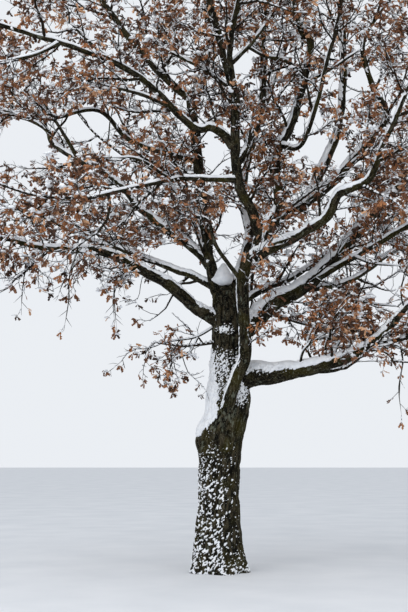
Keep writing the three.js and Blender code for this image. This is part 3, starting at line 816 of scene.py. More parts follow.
def dress(piece: Object, finish: Material) -> Object:
    """Gives a piece its material, lets it ride on the tree, and reports it.

    Args:
        piece: the object.
        finish: its material.

    Returns:
        The object.
    """
    piece.data.materials.clear()
    piece.data.materials.append(finish)
    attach(piece, "root")
    triangles = sum(len(face.vertices) - 2 for face in piece.data.polygons)
    log.info("%s: %d triangles", piece.name, triangles)
    return piece


def ring_quads(sides: int, bands: int) -> Rows:
    """The quads between rings of vertices.

    Args:
        sides: vertices of a ring.
        bands: how many lie between the rings.

    Returns:
        The quads.
    """
    i = np.arange(sides)
    after = (i + 1) % sides
    quads = [np.stack([i, after, sides + after, sides + i], 1) + k * sides for k in range(bands)]
    return np.concatenate(quads) if quads else np.zeros((0, 4), int)


def ring_fan(sides: int, ring: int, apex: int) -> Rows:
    """The triangles from a ring of vertices, from its first on, to an apex."""
    i = np.arange(sides)
    return np.stack([ring + i, ring + (i + 1) % sides, np.full(sides, apex)], 1)


def rods(lines: Rows, radii: Rows, sides: int) -> tuple[Rows, ...]:
    """Closed skins along many lines of equal count that end in a point.

    Args:
        lines: lines by places by three.
        radii: lines by places.
        sides: faces round each.

    Returns:
        The vertices by line, the quads, the tip's triangles and the root's cap.
    """
    count = lines.shape[1]
    along = unit(np.gradient(lines, axis=1))
    mean = unit(lines[:, -1] - lines[:, 0])
    steep = np.abs(mean[:, 2:]) > STEEP
    across = unit(np.cross(mean, np.where(steep, (0.0, 1.0, 0.0), (0.0, 0.0, 1.0))))[:, None]
    across = unit(across - along * (along * across).sum(-1, keepdims=True))
    third = np.cross(along, across)
    turn = 2 * np.pi * np.arange(sides) / sides
    ring = across[:, :, None] * np.cos(turn)[:, None] + third[:, :, None] * np.sin(turn)[:, None]
    rings = lines[:, :, None] + ring * radii[:, :, None, None]
    body = rings[:, :-1].reshape(len(lines), -1, 3)
    vertices = np.concatenate([body, lines[:, -1:]], axis=1)
    tip = ring_fan(sides, (count - 2) * sides, (count - 1) * sides)
    cap = np.arange(sides)[None, ::-1]
    return vertices, ring_quads(sides, count - 2), tip, cap


class Skeleton:
    """The placed limbs and masses, and the source's tests of where a twig may grow."""

    def __init__(self) -> None:
        """Places every limb and mass."""
        self.limbs: dict[str, Limb] = {}
        for limb in (*LIMBS, *THIN_LIMBS, *HANGING):
            carrier = self.limbs.get(limb.carrier)
            start = carrier.course.point(limb.at / len(carrier.legs)) if carrier else trunk_at(limb.at)[0]
            limb.place(start)
            self.limbs[limb.name] = limb
        self.masses = {mass.name: mass for mass in MASSES}
        for mass in MASSES:
            mass.place(self.limbs)
        self.middles = np.array([mass.middle for mass in MASSES])
        self.reaches = np.array([mass.reach for mass in MASSES])
        self.segments = self.solid_segments()

    def solid_segments(self) -> dict[str, Rows]:
        """The source's limbs and stems as segments.

        Returns:
            Both ends and the larger radius of each one's segments.
        """
        found = {limb.name: limb.stations(limb.steps) for limb in LIMBS}
        found.update((mass.name, mass.stations()) for mass in MASSES)
        return {name: np.array([(*a, *b, max(ra, rb)) for (a, ra), (b, rb) in zip(line, line[1:])])
                for name, line in found.items()}

    def clear(self, own: str, places: Rows, room: float) -> bool:
        """Tells whether places are clear of the trunk, of every limb and of other masses' stems.

        Args:
            own: the mass that they belong to.
            places: the places.
            room: free space that they keep.

        Returns:
            True where all are clear.
        """
        for place in places:
            if place[2] < TRUNK_TOP:
                centre, radius = trunk_at(max(place[2], 0))
                if math.hypot(place[0] - centre.x, place[1] - centre.y) < radius + room:
                    return False
        parts = np.concatenate([rows for name, rows in self.segments.items() if name != own])
        start, run, radius = parts[:, :3], parts[:, 3:6] - parts[:, :3], parts[:, 6]
        offset = places[:, None] - start
        share = np.clip((offset * run).sum(-1) / (run * run).sum(-1), 0, 1)
        gap = np.linalg.norm(offset - share[..., None] * run, axis=-1)
        return bool((gap >= radius + room).all())

    def own_space(self, mass: Mass, places: Rows, margin: float) -> bool:
        """Tells whether places are in a mass's reach and nearer to it than to any other.

        Args:
            mass: the mass.
            places: the places.
            margin: free space between two masses, as a share of their reach.

        Returns:
            True where all are.
        """
        near = np.linalg.norm(places[:, None] - self.middles, axis=-1) / self.reaches
        mine = MASSES.index(mass)
        others = np.delete(near, mine, axis=1)
        return bool((near[:, mine] <= 1).all() and (others >= near[:, mine, None] + margin).all())


@dataclass(frozen=True)
class TwigRule:
    """The rule by which every mass of the source branches."""

    per_stem: int = 7
    first: float = 0.22
    turn: float = 137.5
    turn_varies: float = 40
    spread: float = 56
    spread_varies: float = 14
    longest: float = 0.78
    shortest: float = 0.42
    upturn: float = 0.28
    base: float = 0.017
    clear: float = 0.03
    margin: float = 0.02
    first_side: float = 0.3
    spray_angle: float = 48
    tries: tuple = (1, 0.72, 0.5)
    spray_long: float = 0.59
    spray_wide: float = 0.33
    broadest: float = 0.45
    droop: float = 0.3
    least: float = 0.85
    varies: float = 0.3
    carried: float = 0.8  # share of a spray's length that its twig carries on here
    tip: float = 0.004

    def spray_reach(self, root: Vector, ahead: Vector, flat: Vector, size: float) -> list[Vector]:
        """The places that tell whether a spray of the source has room.

        Args:
            root: where it springs.
            ahead: where it points.
            flat: the direction over its face.
            size: its size over the usual one.

        Returns:
            The places.
        """
        side = ahead.cross(flat).normalized()
        rear, fore = self.broadest / 2, (1 + self.broadest) / 2
        places = [(self.broadest, 0), (fore, 0), (1, 0)]
        for way in (1, -1):
            places += [(rear, way / 4), (self.broadest, way / 2), (self.broadest, way / 4), (fore, way / 4)]
        return [root + ahead * (along * self.spray_long * size) + side * (across * self.spray_wide * size)
                for along, across in places]


@dataclass(frozen=True)
class Order:
    """How wood of one order grows: joints, crook, bend to the sky, spacing of its side shoots, the
    share of it that is bare, how they lean, their length over its own, and its radii."""

    joints: int
    crook: float
    upturn: float
    spacing: float
    bare: float
    lean: float
    child: float
    base: float
    tip: float
    leaves: int


ORDERS = (
    Order(joints=6, crook=0.32, upturn=0.05, spacing=0.1, bare=0.14, lean=52, child=0.44, base=0.0152,
          tip=0.0056, leaves=0),
    Order(joints=3, crook=0.4, upturn=0.04, spacing=0.088, bare=0.2, lean=50, child=0.5, base=0.0084,
          tip=0.0046, leaves=6),
    Order(joints=2, crook=0.4, upturn=0.0, spacing=0.1, bare=0, lean=45, child=0, base=0.0053,
          tip=0.0039, leaves=5),
)


@dataclass(frozen=True)
class Row:
    """A row of side shoots: how many, where the first springs and the stretch that they take up as
    shares of their carrier, how far they lean, and their least and greatest length."""

    count: int
    first: float
    stretch: float
    lean: float
    long: tuple[float, float]


def springing(course: Course, share: float, turn: float, lean: float) -> tuple[Vector, Vector]:
    """Where a shoot springs, at a share of a line, and where it heads, in degrees round and out."""
    return course.point(share), leaning(course.tangent(share), turn, lean)


@dataclass
class Growth:
    """Everything that grows on from the limbs: branches, twigs and the places of the leaves."""

    skeleton: Skeleton
    rule: TwigRule = TwigRule()
    wood: list[list] = field(default_factory=lambda: [[] for _ in ORDERS])
    stems: list = field(default_factory=list)
    leaves: list = field(default_factory=list)
    clumps: list = field(default_factory=list)
    draw: random.Random = field(default_factory=lambda: random.Random(7))
    lowest_left: float = 3.98  # no twig springs below these heights left and right of the trunk
    lowest_right: float = 3.12
    lowest_hanging: float = 2.68
    dip: float = 0.14  # how far it may dip below its root past them
    gap_core: float = 0.78  # part of a gap in the crown that shoots keep out of
    lean_varies: float = 8
    turn_varies: float = 25
    long_varies: tuple = (0.7, 1.2)
    long_range: tuple = (0.08, 0.5)
    leafless: float = 0.45  # share of the shoots that hold no leaves
    fringe_leafless: float = 0.72
    leafy_bare: float = 0.4  # what is left of that share where leaves hang thickest
    leafy_close: float = 1.15  # and how much closer side shoots stand there
    tints: tuple = (3, 3, 2.8, 1.7, 3)  # how often each tint is dealt out
    leaf_room: float = 0.7  # share of a shoot's last joint that holds its leaves
    leaf_lean: tuple = (25, 80)
    leaf_sag: tuple = (0.2, 1.3)
    few_leaves: int = 3
    on_stem: Row = Row(9, 0.15, 0.8, 55, (0.3, 0.6))
    on_hanging: Row = Row(7, 0.35, 0.65, 45, (0.18, 0.18))
    on_drooping: Row = Row(9, 0.2, 0.8, 50, (0.1, 0.26))
    drooping: tuple = (("bough_low_left", 13), ("thin_rear_left", 3),
                       ("thin_low_spray", 4), ("thin_low_spray_down", 3))
    side_spacing: float = 0.2  # between side branches on a limb
    side_bare: float = 0.6  # length of a limb from its carrier that bears none, and its largest share
    most_bare: float = 0.45
    odd_bare: dict = field(default_factory=lambda: {
        "bough_low_left": 1.8, "thin_top_middle": 0.15, "thin_high_inner": 0.15})
    branch_turn_varies: float = 20
    branch_lean: tuple = (42, 68)
    branch_lift: float = 0.12
    branch_long: tuple = (0.5, 1.05)
    strong_long: tuple = (0.9, 1.45)
    stout: float = 1.75  # how much thicker a strong one is
    droop_first: float = 0.45  # share of a limb where its drooping twigs start
    droop_long: tuple = (0.5, 0.95)
    droop_radii: tuple = (0.0085, 0.0035)
    wobble: float = 0.045  # how far the source's twigs stray between their joints

    def somewhere(self) -> Vector:
        """A direction by chance."""
        return Vector([self.draw.gauss(0, 1) for _ in range(3)]).normalized()

    def any_turn(self) -> float:
        """A turn by chance, in degrees."""
        return self.draw.uniform(0, 360)

    def has_room(self, places: list[Vector], mass: Mass | None) -> bool:
        """Tells whether a twig may stand there.

        Args:
            places: places along it.
            mass: the mass whose reach it keeps to, or None.

        Returns:
            True where it may.
        """
        low, high = CAD_BOX
        free = mass and mass.on == "trunk"
        for place in places:
            lowest = self.lowest_left if place.x < 0 else self.lowest_right
            if place.z < (self.lowest_hanging if free else min(lowest, places[0].z - self.dip)):
                return False
            if any(not a < v < b for a, v, b in zip(low, place, high)):
                return False
            if mass and (place - mass.middle).length > mass.reach:
                return False
        return not any(inside(SKY_GAPS, place, self.gap_core) for place in places[1:])

    def shoot(self, root: Vector, ahead: Vector, length: float, order: int, mass: Mass | None,
              stout: float = 1) -> None:
        """Grows a crooked shoot with its side shoots and leaves.

        Args:
            root: where it springs.
            ahead: its first direction.
            length: its length.
            order: 0 for a branch, then 1 and 2.
            mass: the mass whose reach it keeps to, or None.
            stout: its thickness over the usual one.
        """
        rule = ORDERS[order]
        points = [root]
        way = ahead.normalized()
        for _ in range(rule.joints):
            points.append(points[-1] + way * (length / rule.joints))
            way = (way + self.somewhere() * rule.crook + UP * rule.upturn).normalized()
        if not self.has_room(points, mass):
            return
        lacks = max((patch.share for patch in THIN_PATCHES if patch.covers(points[-1])), default=0)
        if order and self.draw.random() < lacks:
            return
        slim = min(1.0, 0.55 + 0.45 * length) * stout
        radii = np.linspace(rule.base * slim, rule.tip, len(points))
        self.wood[order].append((points, radii))
        self.side_shoots(points, length, order, mass)
        if rule.leaves:
            self.spray(points, rule.leaves)

    def side_shoots(self, points: list[Vector], length: float, order: int, mass: Mass | None) -> None:
        """Sets shoots of the next order along a line.

        Args:
            points: the line.
            length: its length.
            order: its own order.
            mass: the mass whose reach they keep to, or None.
        """
        rule = ORDERS[order]
        if not rule.child:
            return
        line = Course(points)
        close = self.leafy_close if inside(LEAFY_PATCHES, points[-1]) else 1
        count = max(1, round(close * length * (1 - rule.bare) / rule.spacing))
        turn = self.any_turn()
        for k in range(count):
            share = rule.bare + (1 - rule.bare) * (k + self.draw.random()) / count
            lean = rule.lean * (1.15 - 0.4 * share) + self.draw.gauss(0, self.lean_varies)
            turned = turn + GOLDEN_TURN * k + self.draw.gauss(0, self.turn_varies)
            long = length * rule.child * (1.2 - 0.55 * share) * self.draw.uniform(*self.long_varies)
            shortest, longest = self.long_range
            long = min(max(long, shortest), longest)
            self.shoot(*springing(line, share, turned, lean), long, order + 1, mass)

    def spray(self, points: list[Vector], most: int) -> None:
        """Sets a spray of leaves round the end of a shoot.

        Args:
            points: the shoot.
            most: the most leaves that it holds.
        """
        tip, before = points[-1], points[-2]
        leafy = inside(LEAFY_PATCHES, tip)
        bare = self.leafless * (self.leafy_bare if leafy else 1)
        if FRINGE.covers(tip):
            bare = self.fringe_leafless
        if self.draw.random() < bare or inside(SKY_GAPS, tip):
            return
        most += leafy
        self.clumps.append(tip)
        along = (tip - before).normalized()
        tint = self.draw.choices(range(len(LEAF_FINISHES)), self.tints)[0]
        for _ in range(self.draw.randint(most - 2, most + 1)):
            root = tip.lerp(before, self.draw.uniform(0, self.leaf_room))
            lean = self.draw.uniform(*self.leaf_lean)
            ahead = leaning(along, self.any_turn(), lean) - UP * self.draw.uniform(*self.leaf_sag)
            self.leaves.append((root, ahead.normalized(), self.somewhere(), tint))

    def main_twigs(self, mass: Mass) -> None:
        """Grows a mass's own twigs by the source's rule and carries them on.

        Args:
            mass: the mass.
        """
        rule, draw = self.rule, seeded(mass.seed)
        for k in range(rule.per_stem):
            share = rule.first + (1 - rule.first) * (k + 0.5) / rule.per_stem
            turn = rule.turn * k + rule.turn_varies * draw()
            lean = rule.spread + rule.spread_varies * (draw() - 0.5)
            root, ahead = springing(mass.course, share, turn, lean)
            ahead = (ahead + UP * (rule.upturn / 2)).normalized()
            longest = rule.longest + (rule.shortest - rule.longest) * share
            bent = (ahead + UP * rule.upturn).normalized()
            flat = (UP + Vector((draw() - 0.5, draw() - 0.5, 0))).normalized()
            size = rule.least + rule.varies * draw()
            drooped = (bent - UP * rule.droop).normalized()
            for shorter in rule.tries:
                length = mass.reach * longest * shorter
                elbow = root + ahead * (length / 2)
                end = elbow + bent * (length / 2)
                reach = np.array([elbow, end, *rule.spray_reach(end, drooped, flat, size)])
                if not (self.skeleton.own_space(mass, reach, rule.margin)
                        and self.skeleton.clear(mass.name, reach, rule.clear + rule.base)):
                    continue
                tip = end + drooped * (rule.spray_long * size * rule.carried)
                if inside(SKY_GAPS, end) or inside(SKY_GAPS, tip):
                    break
                bent_root = root.lerp(elbow, 0.5) + self.somewhere() * self.wobble
                bent_end = elbow.lerp(end, 0.5) + self.somewhere() * self.wobble
                points = [root, bent_root, elbow, bent_end, end, end.lerp(tip, 0.5), tip]
                self.wood[0].append((points, np.linspace(rule.base, rule.tip, len(points))))
                self.side_shoots(points, length + rule.spray_long * rule.carried, 0, mass)
                self.spray(points, self.few_leaves)
                lean = leaning(bent, 180 if k % 2 else 0, rule.spray_angle)
                long = rule.spray_long * (rule.least + rule.varies * draw()) * rule.carried
                self.shoot(elbow.lerp(end, rule.first_side), lean, long, 1, mass)
                break

    def mass_stem(self, mass: Mass) -> None:
        """Grows a mass from its stem.

        Args:
            mass: the mass.
        """
        shares = np.linspace(0, 1, 13)
        radii = np.interp(shares, (0, 1 / 3, 1), (mass.thick, mass.thick, mass.TIP))
        line = [mass.course.point(share) for share in shares]
        self.stems.append((line, radii))
        self.main_twigs(mass)
        self.shoot(line[-1], mass.course.tangent(1), 0.5, 1, mass)
        row = self.on_stem
        turn = self.any_turn()
        for k in range(row.count):
            share = row.first + row.stretch * k / row.count
            spring = springing(mass.course, share, turn + GOLDEN_TURN * k, row.lean)
            self.shoot(*spring, self.draw.uniform(*row.long), 1, mass)

    def side_branches(self, limb: Limb) -> None:
        """Sets side branches along a limb.

        Args:
            limb: the limb.
        """
        length = limb.length
        bare = self.odd_bare.get(limb.name, min(self.side_bare, self.most_bare * length))
        count = max(1, int((length - bare) / self.side_spacing))
        turn = self.any_turn()
        for k in range(count):
            share = (bare + (length - bare) * (k + self.draw.random()) / count) / length
            turned = turn + GOLDEN_TURN * k + self.draw.gauss(0, self.branch_turn_varies)
            root, ahead = springing(limb.course, share, turned, self.draw.uniform(*self.branch_lean))
            strong = k % 3 == 0 and limb.base > 0.04
            long = self.draw.uniform(*(self.strong_long if strong else self.branch_long))
            ahead += UP * self.branch_lift
            self.shoot(root, ahead, long, 0, None, self.stout if strong else 1)
        if limb in THIN_LIMBS:
            self.shoot(limb.course.point(1), limb.course.tangent(1), 0.45, 1, None)

    def hanging_twig(self, limb: Limb) -> None:
        """Grows a long twig that hangs free.

        Args:
            limb: its course.
        """
        joints = ORDERS[0].joints
        points = [limb.course.point(k / joints) for k in range(joints + 1)]
        self.wood[0].append((points, np.linspace(limb.base, limb.tip, joints + 1)))
        row, parts = self.on_hanging, ORDERS[2].joints
        for k in range(row.count):
            share = row.first + row.stretch * k / (row.count - 1)
            root, ahead = springing(limb.course, share, GOLDEN_TURN * k, row.lean)
            side = [root + ahead * (row.long[0] / parts * step) for step in range(parts + 1)]
            self.wood[2].append((side, np.linspace(0.005, 0.0035, parts + 1)))
            self.spray(side, self.few_leaves)
        self.shoot(limb.course.point(1), limb.course.tangent(1), 0.12, 2, None)

    def drooping_twigs(self, limb: Limb, count: int) -> None:
        """Grows crooked twigs that spread and hang from the outer half of a limb.

        Args:
            limb: the limb.
            count: how many.
        """
        joints, row, first = ORDERS[0].joints, self.on_drooping, self.droop_first
        for k in range(count):
            share = first + (1 - first) * (k + self.draw.random()) / count
            way = limb.course.tangent(share) * 0.5 + self.somewhere() * 0.6 - UP * 0.7
            points = [limb.course.point(share)]
            length = self.draw.uniform(*self.droop_long)
            for _ in range(joints):
                way = way.normalized() + self.somewhere() * 0.55 - UP * 0.16
                points.append(points[-1] + way.normalized() * (length / joints))
            self.wood[0].append((points, np.linspace(*self.droop_radii, joints + 1)))
            line = Course(points)
            for step in range(row.count):
                along = row.first + row.stretch * step / (row.count - 1)
                spring = springing(line, along, self.any_turn(), row.lean)
                self.shoot(*spring, self.draw.uniform(*row.long), 1 + step % 2, None)

    def build(self) -> None:
        """Grows the whole crown."""
        for mass in MASSES:
            self.mass_stem(mass)
        for limb in (*LIMBS, *THIN_LIMBS):
            if limb.carrier != "trunk" or limb in LIMBS:
                self.side_branches(limb)
        for name, count in self.drooping:
            self.drooping_twigs(self.skeleton.limbs[name], count)
        for limb in HANGING:
            self.hanging_twig(limb)
        log.info("branches %d, twigs %d and %d, leaves %d", *map(len, self.wood), len(self.leaves))


def mesh_arrays(piece: Object) -> tuple[Rows, Rows]:
    """Reads a mesh's vertices and normals.

    Args:
        piece: a mesh object.

    Returns:
        Both.
    """
    count = len(piece.data.vertices)
    places, normals = np.empty(count * 3), np.empty(count * 3)
    piece.data.vertices.foreach_get("co", places)
    piece.data.vertex_normals.foreach_get("vector", normals)
    return places.reshape(-1, 3), normals.reshape(-1, 3)


def numbers_of(piece: Object, name: str) -> Rows:
    """Reads one number for each vertex.

    Args:
        piece: a mesh object.
        name: the attribute's name.

    Returns:
        The numbers.
    """
    values = np.empty(len(piece.data.vertices))
    piece.data.attributes[name].data.foreach_get("value", values)
    return values


def move_to(piece: Object, places: Rows) -> None:
    """Moves a mesh's vertices to new places."""
    piece.data.vertices.foreach_set("co", places.ravel())
    piece.data.update()


def quads_of(piece: Object) -> Rows:
    """The corners of the mesh's faces of four corners."""
    return np.array([face.vertices[:] for face in piece.data.polygons if len(face.vertices) == 4])


@dataclass
class WoodLine:
    """A limb's centre line as samples: places, radii, length run, and a frame carried along it."""

    places: Rows
    radii: Rows
    run: Rows = field(init=False)
    across: Rows = field(init=False)
    third: Rows = field(init=False)

    def __post_init__(self) -> None:
        """Works out the run and the frame."""
        steps = np.linalg.norm(np.diff(self.places, axis=0), axis=1)
        self.run = np.concatenate([[0], np.cumsum(steps)])
        along = unit(np.gradient(self.places, axis=0))
        side = np.array(square_to(Vector(along[0])))
        sides = []
        for way in along:
            side = side - way * (side @ way)
            side = side / np.linalg.norm(side)
            sides.append(side)
        self.across = np.array(sides)
        self.third = np.cross(along, self.across)

    def wrap(self, points: Rows) -> tuple[Rows, ...]:
        """Finds where points lie on the limb.

        Args:
            points: the places.

        Returns:
            Their distance from its skin, run along it, angle round it and its radius there.
        """
        start, run = self.places[:-1], np.diff(self.places, axis=0)
        offset = points[:, None] - start
        share = np.clip((offset * run).sum(-1) / (run * run).sum(-1), 0, 1)
        gap = np.linalg.norm(offset - share[..., None] * run, axis=-1)
        best = gap.argmin(1)
        rows = np.arange(len(points))
        part = share[rows, best]
        radius = self.radii[best] + (self.radii[best + 1] - self.radii[best]) * part
        along = self.run[best] + (self.run[best + 1] - self.run[best]) * part
        out = points - (start[best] + part[:, None] * run[best])
        angle = np.arctan2((out * self.third[best]).sum(1), (out * self.across[best]).sum(1))
        return gap[rows, best] - radius, along, angle, radius


@dataclass
class Bark:
    """The trunk and the boughs: skins with furrows, swellings and collars."""

    skeleton: Skeleton
    finish: Material
    voxel: float = 0.014
    trunk_sides: int = 72
    buttresses: int = 5
    buttress_depth: float = 0.1
    buttress_fade: float = 0.32
    buttress_turn: float = 0.7
    knob_height: float = 1.98
    knob_out: float = 0.032
    lobes_top: float = 2.6
    below: float = 0.12  # how far the trunk is made past the ground before it is cut flat
    fillet: tuple = (0.5, 7)  # factor and rounds of the smoothing over the joins
    # Lengths of limbs that are one with the trunk: a bough's, and more for its radius; a stem's bough.
    stub: float = 0.8
    stub_more: float = 0.9
    short_stub: float = 0.55
    short_base: float = 0.05
    # The rest starts inside the stub: how far, how slim, and over what it widens.
    overlap: float = 0.26
    overlap_slim: tuple = (0.6, 0.22)
    sunk_slim: tuple = (0.62, 1.4)  # the same in its carrier's radii, for a limb that has no stub
    facet: float = 0.022  # width of the faces round a limb
    fork_furrows: tuple = (0.004, 0.05)  # depth of the furrows, and more for a metre of radius
    bough_furrows: tuple = (0.002, 0.04)
    parting: float = 0.4  # boughs whose tips are left of it are one piece, the others another
    step: float = 0.04
    stretch: float = 0.24  # width of the bark's plates over their length
    warp: float = 0.035
    furrow: float = 0.3  # noise up to which it is furrow, and the same for the cracks across
    crack: float = 0.12
    crack_depth: float = 0.35
    crack_close: float = 3.2
    skin: float = 0.7  # ridge that stays at the limb's own skin
    apart: float = 3.7  # how far apart two limbs lie in the noise
    lumps: tuple = ((0.05, 3.2, 2.2), (0.02, 9.0, 6.1))
    knotty: float = 0.09  # how much knots swell a limb, over its radius
    stray: float = 0.32  # how far small kinks carry a limb off its course, over its radius
    # Limbs that look stouter or slimmer than they were packed: runs with how much.
    stout: dict = field(default_factory=lambda: {
        "front_stem": ((0.6, 0.84), (2.6, 1)),
        "front_leader": ((0.4, 1), (1, 1.22), (3.5, 1.22), (5, 1.1)),
        "right_leader": ((0.3, 1), (0.9, 1.22), (3.5, 1.22), (5.5, 1)),
        "bough_low_right": ((0, 1.3), (0.35, 1.18), (0.9, 1)),
        "bough_great_right": ((1.6, 1.14), (3.4, 1)),
        "bough_right_upright": ((0.1, 1), (0.5, 1.28), (2.5, 1.28), (4, 1)),
        "bough_right_long": ((0.1, 1), (0.5, 1.15), (3, 1.15), (5, 1)),
        "bough_upper_middle": ((0.1, 1), (0.5, 1.15), (2, 1.15), (3, 1))})

    def column(self) -> Object:
        """Models the trunk as a circle extruded ring by ring.

        Returns:
            The mesh object.
        """
        bpy.ops.object.select_all(action="DESELECT")
        _, x, y, radius = TRUNK_RINGS[0]
        below = (-self.below, x, y, radius * 1.02)
        bpy.ops.mesh.primitive_circle_add(vertices=self.trunk_sides, radius=below[3], fill_type="NGON",
                                          location=(x, y, -self.below))
        made = bpy.context.object
        bpy.ops.object.mode_set(mode="EDIT")
        bpy.ops.mesh.select_all(action="SELECT")
        for ring in TRUNK_RINGS:
            step = (ring[1] - below[1], ring[2] - below[2], ring[0] - below[0])
            bpy.ops.mesh.extrude_region_move(TRANSFORM_OT_translate={"value": step})
            ratio = ring[3] / below[3]
            bpy.ops.transform.resize(value=(ratio, ratio, 1), center_override=(ring[1], ring[2], ring[0]))
            below = ring
        bpy.ops.mesh.select_all(action="SELECT")
        bpy.ops.mesh.normals_make_consistent(inside=False)
        bpy.ops.object.mode_set(mode="OBJECT")
        bpy.ops.object.transform_apply()
        return made

    @staticmethod
    def tube(name: str, line: WoodLine, rounds: int) -> Object:
        """Models a limb as a curve with a round section that follows its radii.

        Args:
            name: the object's name.
            line: its centre line.
            rounds: how fine its section is.

        Returns:
            The mesh object.
        """
        bpy.ops.object.select_all(action="DESELECT")
        bpy.ops.curve.primitive_nurbs_path_add()
        made = bpy.context.object
        made.name = name
        curve = made.data
        curve.splines.clear()
        spline = curve.splines.new("POLY")
        spline.points.add(len(line.places) - 1)
        spline.points.foreach_set("co", np.column_stack([line.places, np.ones(len(line.places))]).ravel())
        spline.points.foreach_set("radius", line.radii)
        curve.bevel_depth = 1
        curve.bevel_resolution = rounds
        curve.use_fill_caps = True
        curve.twist_mode = "MINIMUM"
        bpy.ops.object.convert(target="MESH")
        bpy.ops.object.mode_set(mode="EDIT")
        bpy.ops.mesh.select_all(action="SELECT")
        bpy.ops.mesh.remove_doubles(threshold=1e-5)
        bpy.ops.mesh.normals_make_consistent(inside=False)
        bpy.ops.object.mode_set(mode="OBJECT")
        return made

    def line(self, limb: Limb, start: float = 0, end: float | None = None, slim: tuple = ()) -> WoodLine:
        """Samples a stretch of a limb.

        Args:
            limb: the limb.
            start: metres along it where the stretch starts.
            end: metres along it where it ends, or None for its tip.
            slim: run and share pairs that scale its radius.

        Returns:
            Its centre line.
        """
        length = limb.length
        end = length if end is None else end
        count = max(6, round((end - start) / self.step))
        runs = np.linspace(start, end, count + 1)
        places = np.array([limb.course.point(run / length) for run in runs])
        radii = np.array([limb.radius(run / length) for run in runs])
        knots = noise_at(places, 1.6, 31.7 + limb.at) + 0.5 * noise_at(places, 5.5, 3.1)
        radii = radii * (1 + self.knotty * knots)
        if limb.name in self.stout:
            radii = radii * np.interp(runs, *zip(*self.stout[limb.name]))
        if limb.name != "front_stem":
            free = np.minimum(smoothstep(0, 0.5, runs), smoothstep(length, length - 0.3, runs))
            astray = np.stack([noise_at(places, 3.4, shift) for shift in (11.1, 23.9, 37.3)], 1)
            places = places + astray * (self.stray * radii * free)[:, None]
        if slim:
            radii = radii * np.interp(runs, *zip(*slim))
        return WoodLine(places, radii)

    def relief(self, piece: Object, lines: list[WoodLine], furrows: tuple[float, float]) -> None:
        """Cuts the furrows and writes the attributes that the bark's material reads.

        Args:
            piece: the mesh object.
            lines: the centre lines that its skin belongs to.
            furrows: their depth, and how much more it is for a metre of radius.
        """
        places, normals = mesh_arrays(piece)
        _, run, angle, radius, number = self.wrap_all(lines, places)
        grain = np.stack([radius * np.cos(angle), radius * np.sin(angle), run * self.stretch], 1)
        grain = grain + number[:, None] * self.apart
        warped = grain + (noise_at(grain, 7.0, 5.3) * self.warp)[:, None]
        size = np.clip(radius / 0.3, 0.35, 1)[:, None] ** 0.5
        plates = np.abs(noise_at(warped / size, 15.0, 1.7))
        cross = np.abs(noise_at(warped * (1, 1, self.crack_close) / size, 9.0, 8.9))
        uncracked = 1 - self.crack_depth + self.crack_depth * smoothstep(0, self.crack, cross)
        ridge = smoothstep(0, self.furrow, plates) * uncracked
        depth, deeper = furrows
        depth = depth + deeper * radius
        moved = (ridge - self.skin) * depth + bumps(places, *self.lumps) * radius
        moved = places + normals * moved[:, None]
        move_to(piece, moved)
        attribute = piece.data.attributes.new("grain", "FLOAT_VECTOR", "POINT")
        attribute.data.foreach_set("vector", grain.ravel())
        for name, values in (("ridge", ridge), ("girth", radius), ("limb", number)):
            attribute = piece.data.attributes.new(name, "FLOAT", "POINT")
            attribute.data.foreach_set("value", np.ascontiguousarray(values))

    @staticmethod
    def wrap_all(lines: list[WoodLine], places: Rows) -> tuple[Rows, ...]:
        """Finds for each place the limb whose skin is nearest, and where it lies on it.

        Args:
            lines: the limbs' centre lines.
            places: the places.

        Returns:
            Gap, run, angle, radius and the limb's number.
        """
        best = None
        for k, line in enumerate(lines):
            parts = [line.wrap(chunk) for chunk in np.array_split(places, 1 + len(places) // 20000)]
            found = np.stack([np.concatenate(column) for column in zip(*parts)] + [np.full(len(places), k)])
            best = found if best is None else np.where(found[0] < best[0], found, best)
        return tuple(best)

    def swell_trunk(self, piece: Object) -> None:
        """Pushes out the buttresses of the root flare and the knob over the old wound.

        Args:
            piece: the mesh of trunk and fork.
        """
        places, _ = mesh_arrays(piece)
        z = places[:, 2]
        angle = np.arctan2(places[:, 1], places[:, 0])
        radius = np.hypot(places[:, 0], places[:, 1])
        lobes = self.buttress_depth * np.exp(-np.maximum(z, 0) / self.buttress_fade)
        lobes = lobes * np.cos(self.buttresses * angle + self.buttress_turn) * radius
        off = np.abs(angle) - np.pi
        knob = self.knob_out * np.exp(-((off / 0.5) ** 2) - ((z - self.knob_height) / 0.15) ** 2)
        out = np.where(z < self.lobes_top, lobes + knob, 0) / np.maximum(radius, NEAR_AXIS)
        places[:, :2] *= 1 + out[:, None]
        move_to(piece, places)

    @staticmethod
    def joined(parts: list[Object], name: str) -> Object:
        """Joins parts.

        Args:
            parts: the parts.
            name: the name of what they make.

        Returns:
            The object.
        """
        bpy.ops.object.select_all(action="DESELECT")
        for part in parts:
            part.select_set(True)
        bpy.context.view_layer.objects.active = parts[0]
        bpy.ops.object.join()
        made = bpy.context.object
        made.name = made.data.name = name
        return made

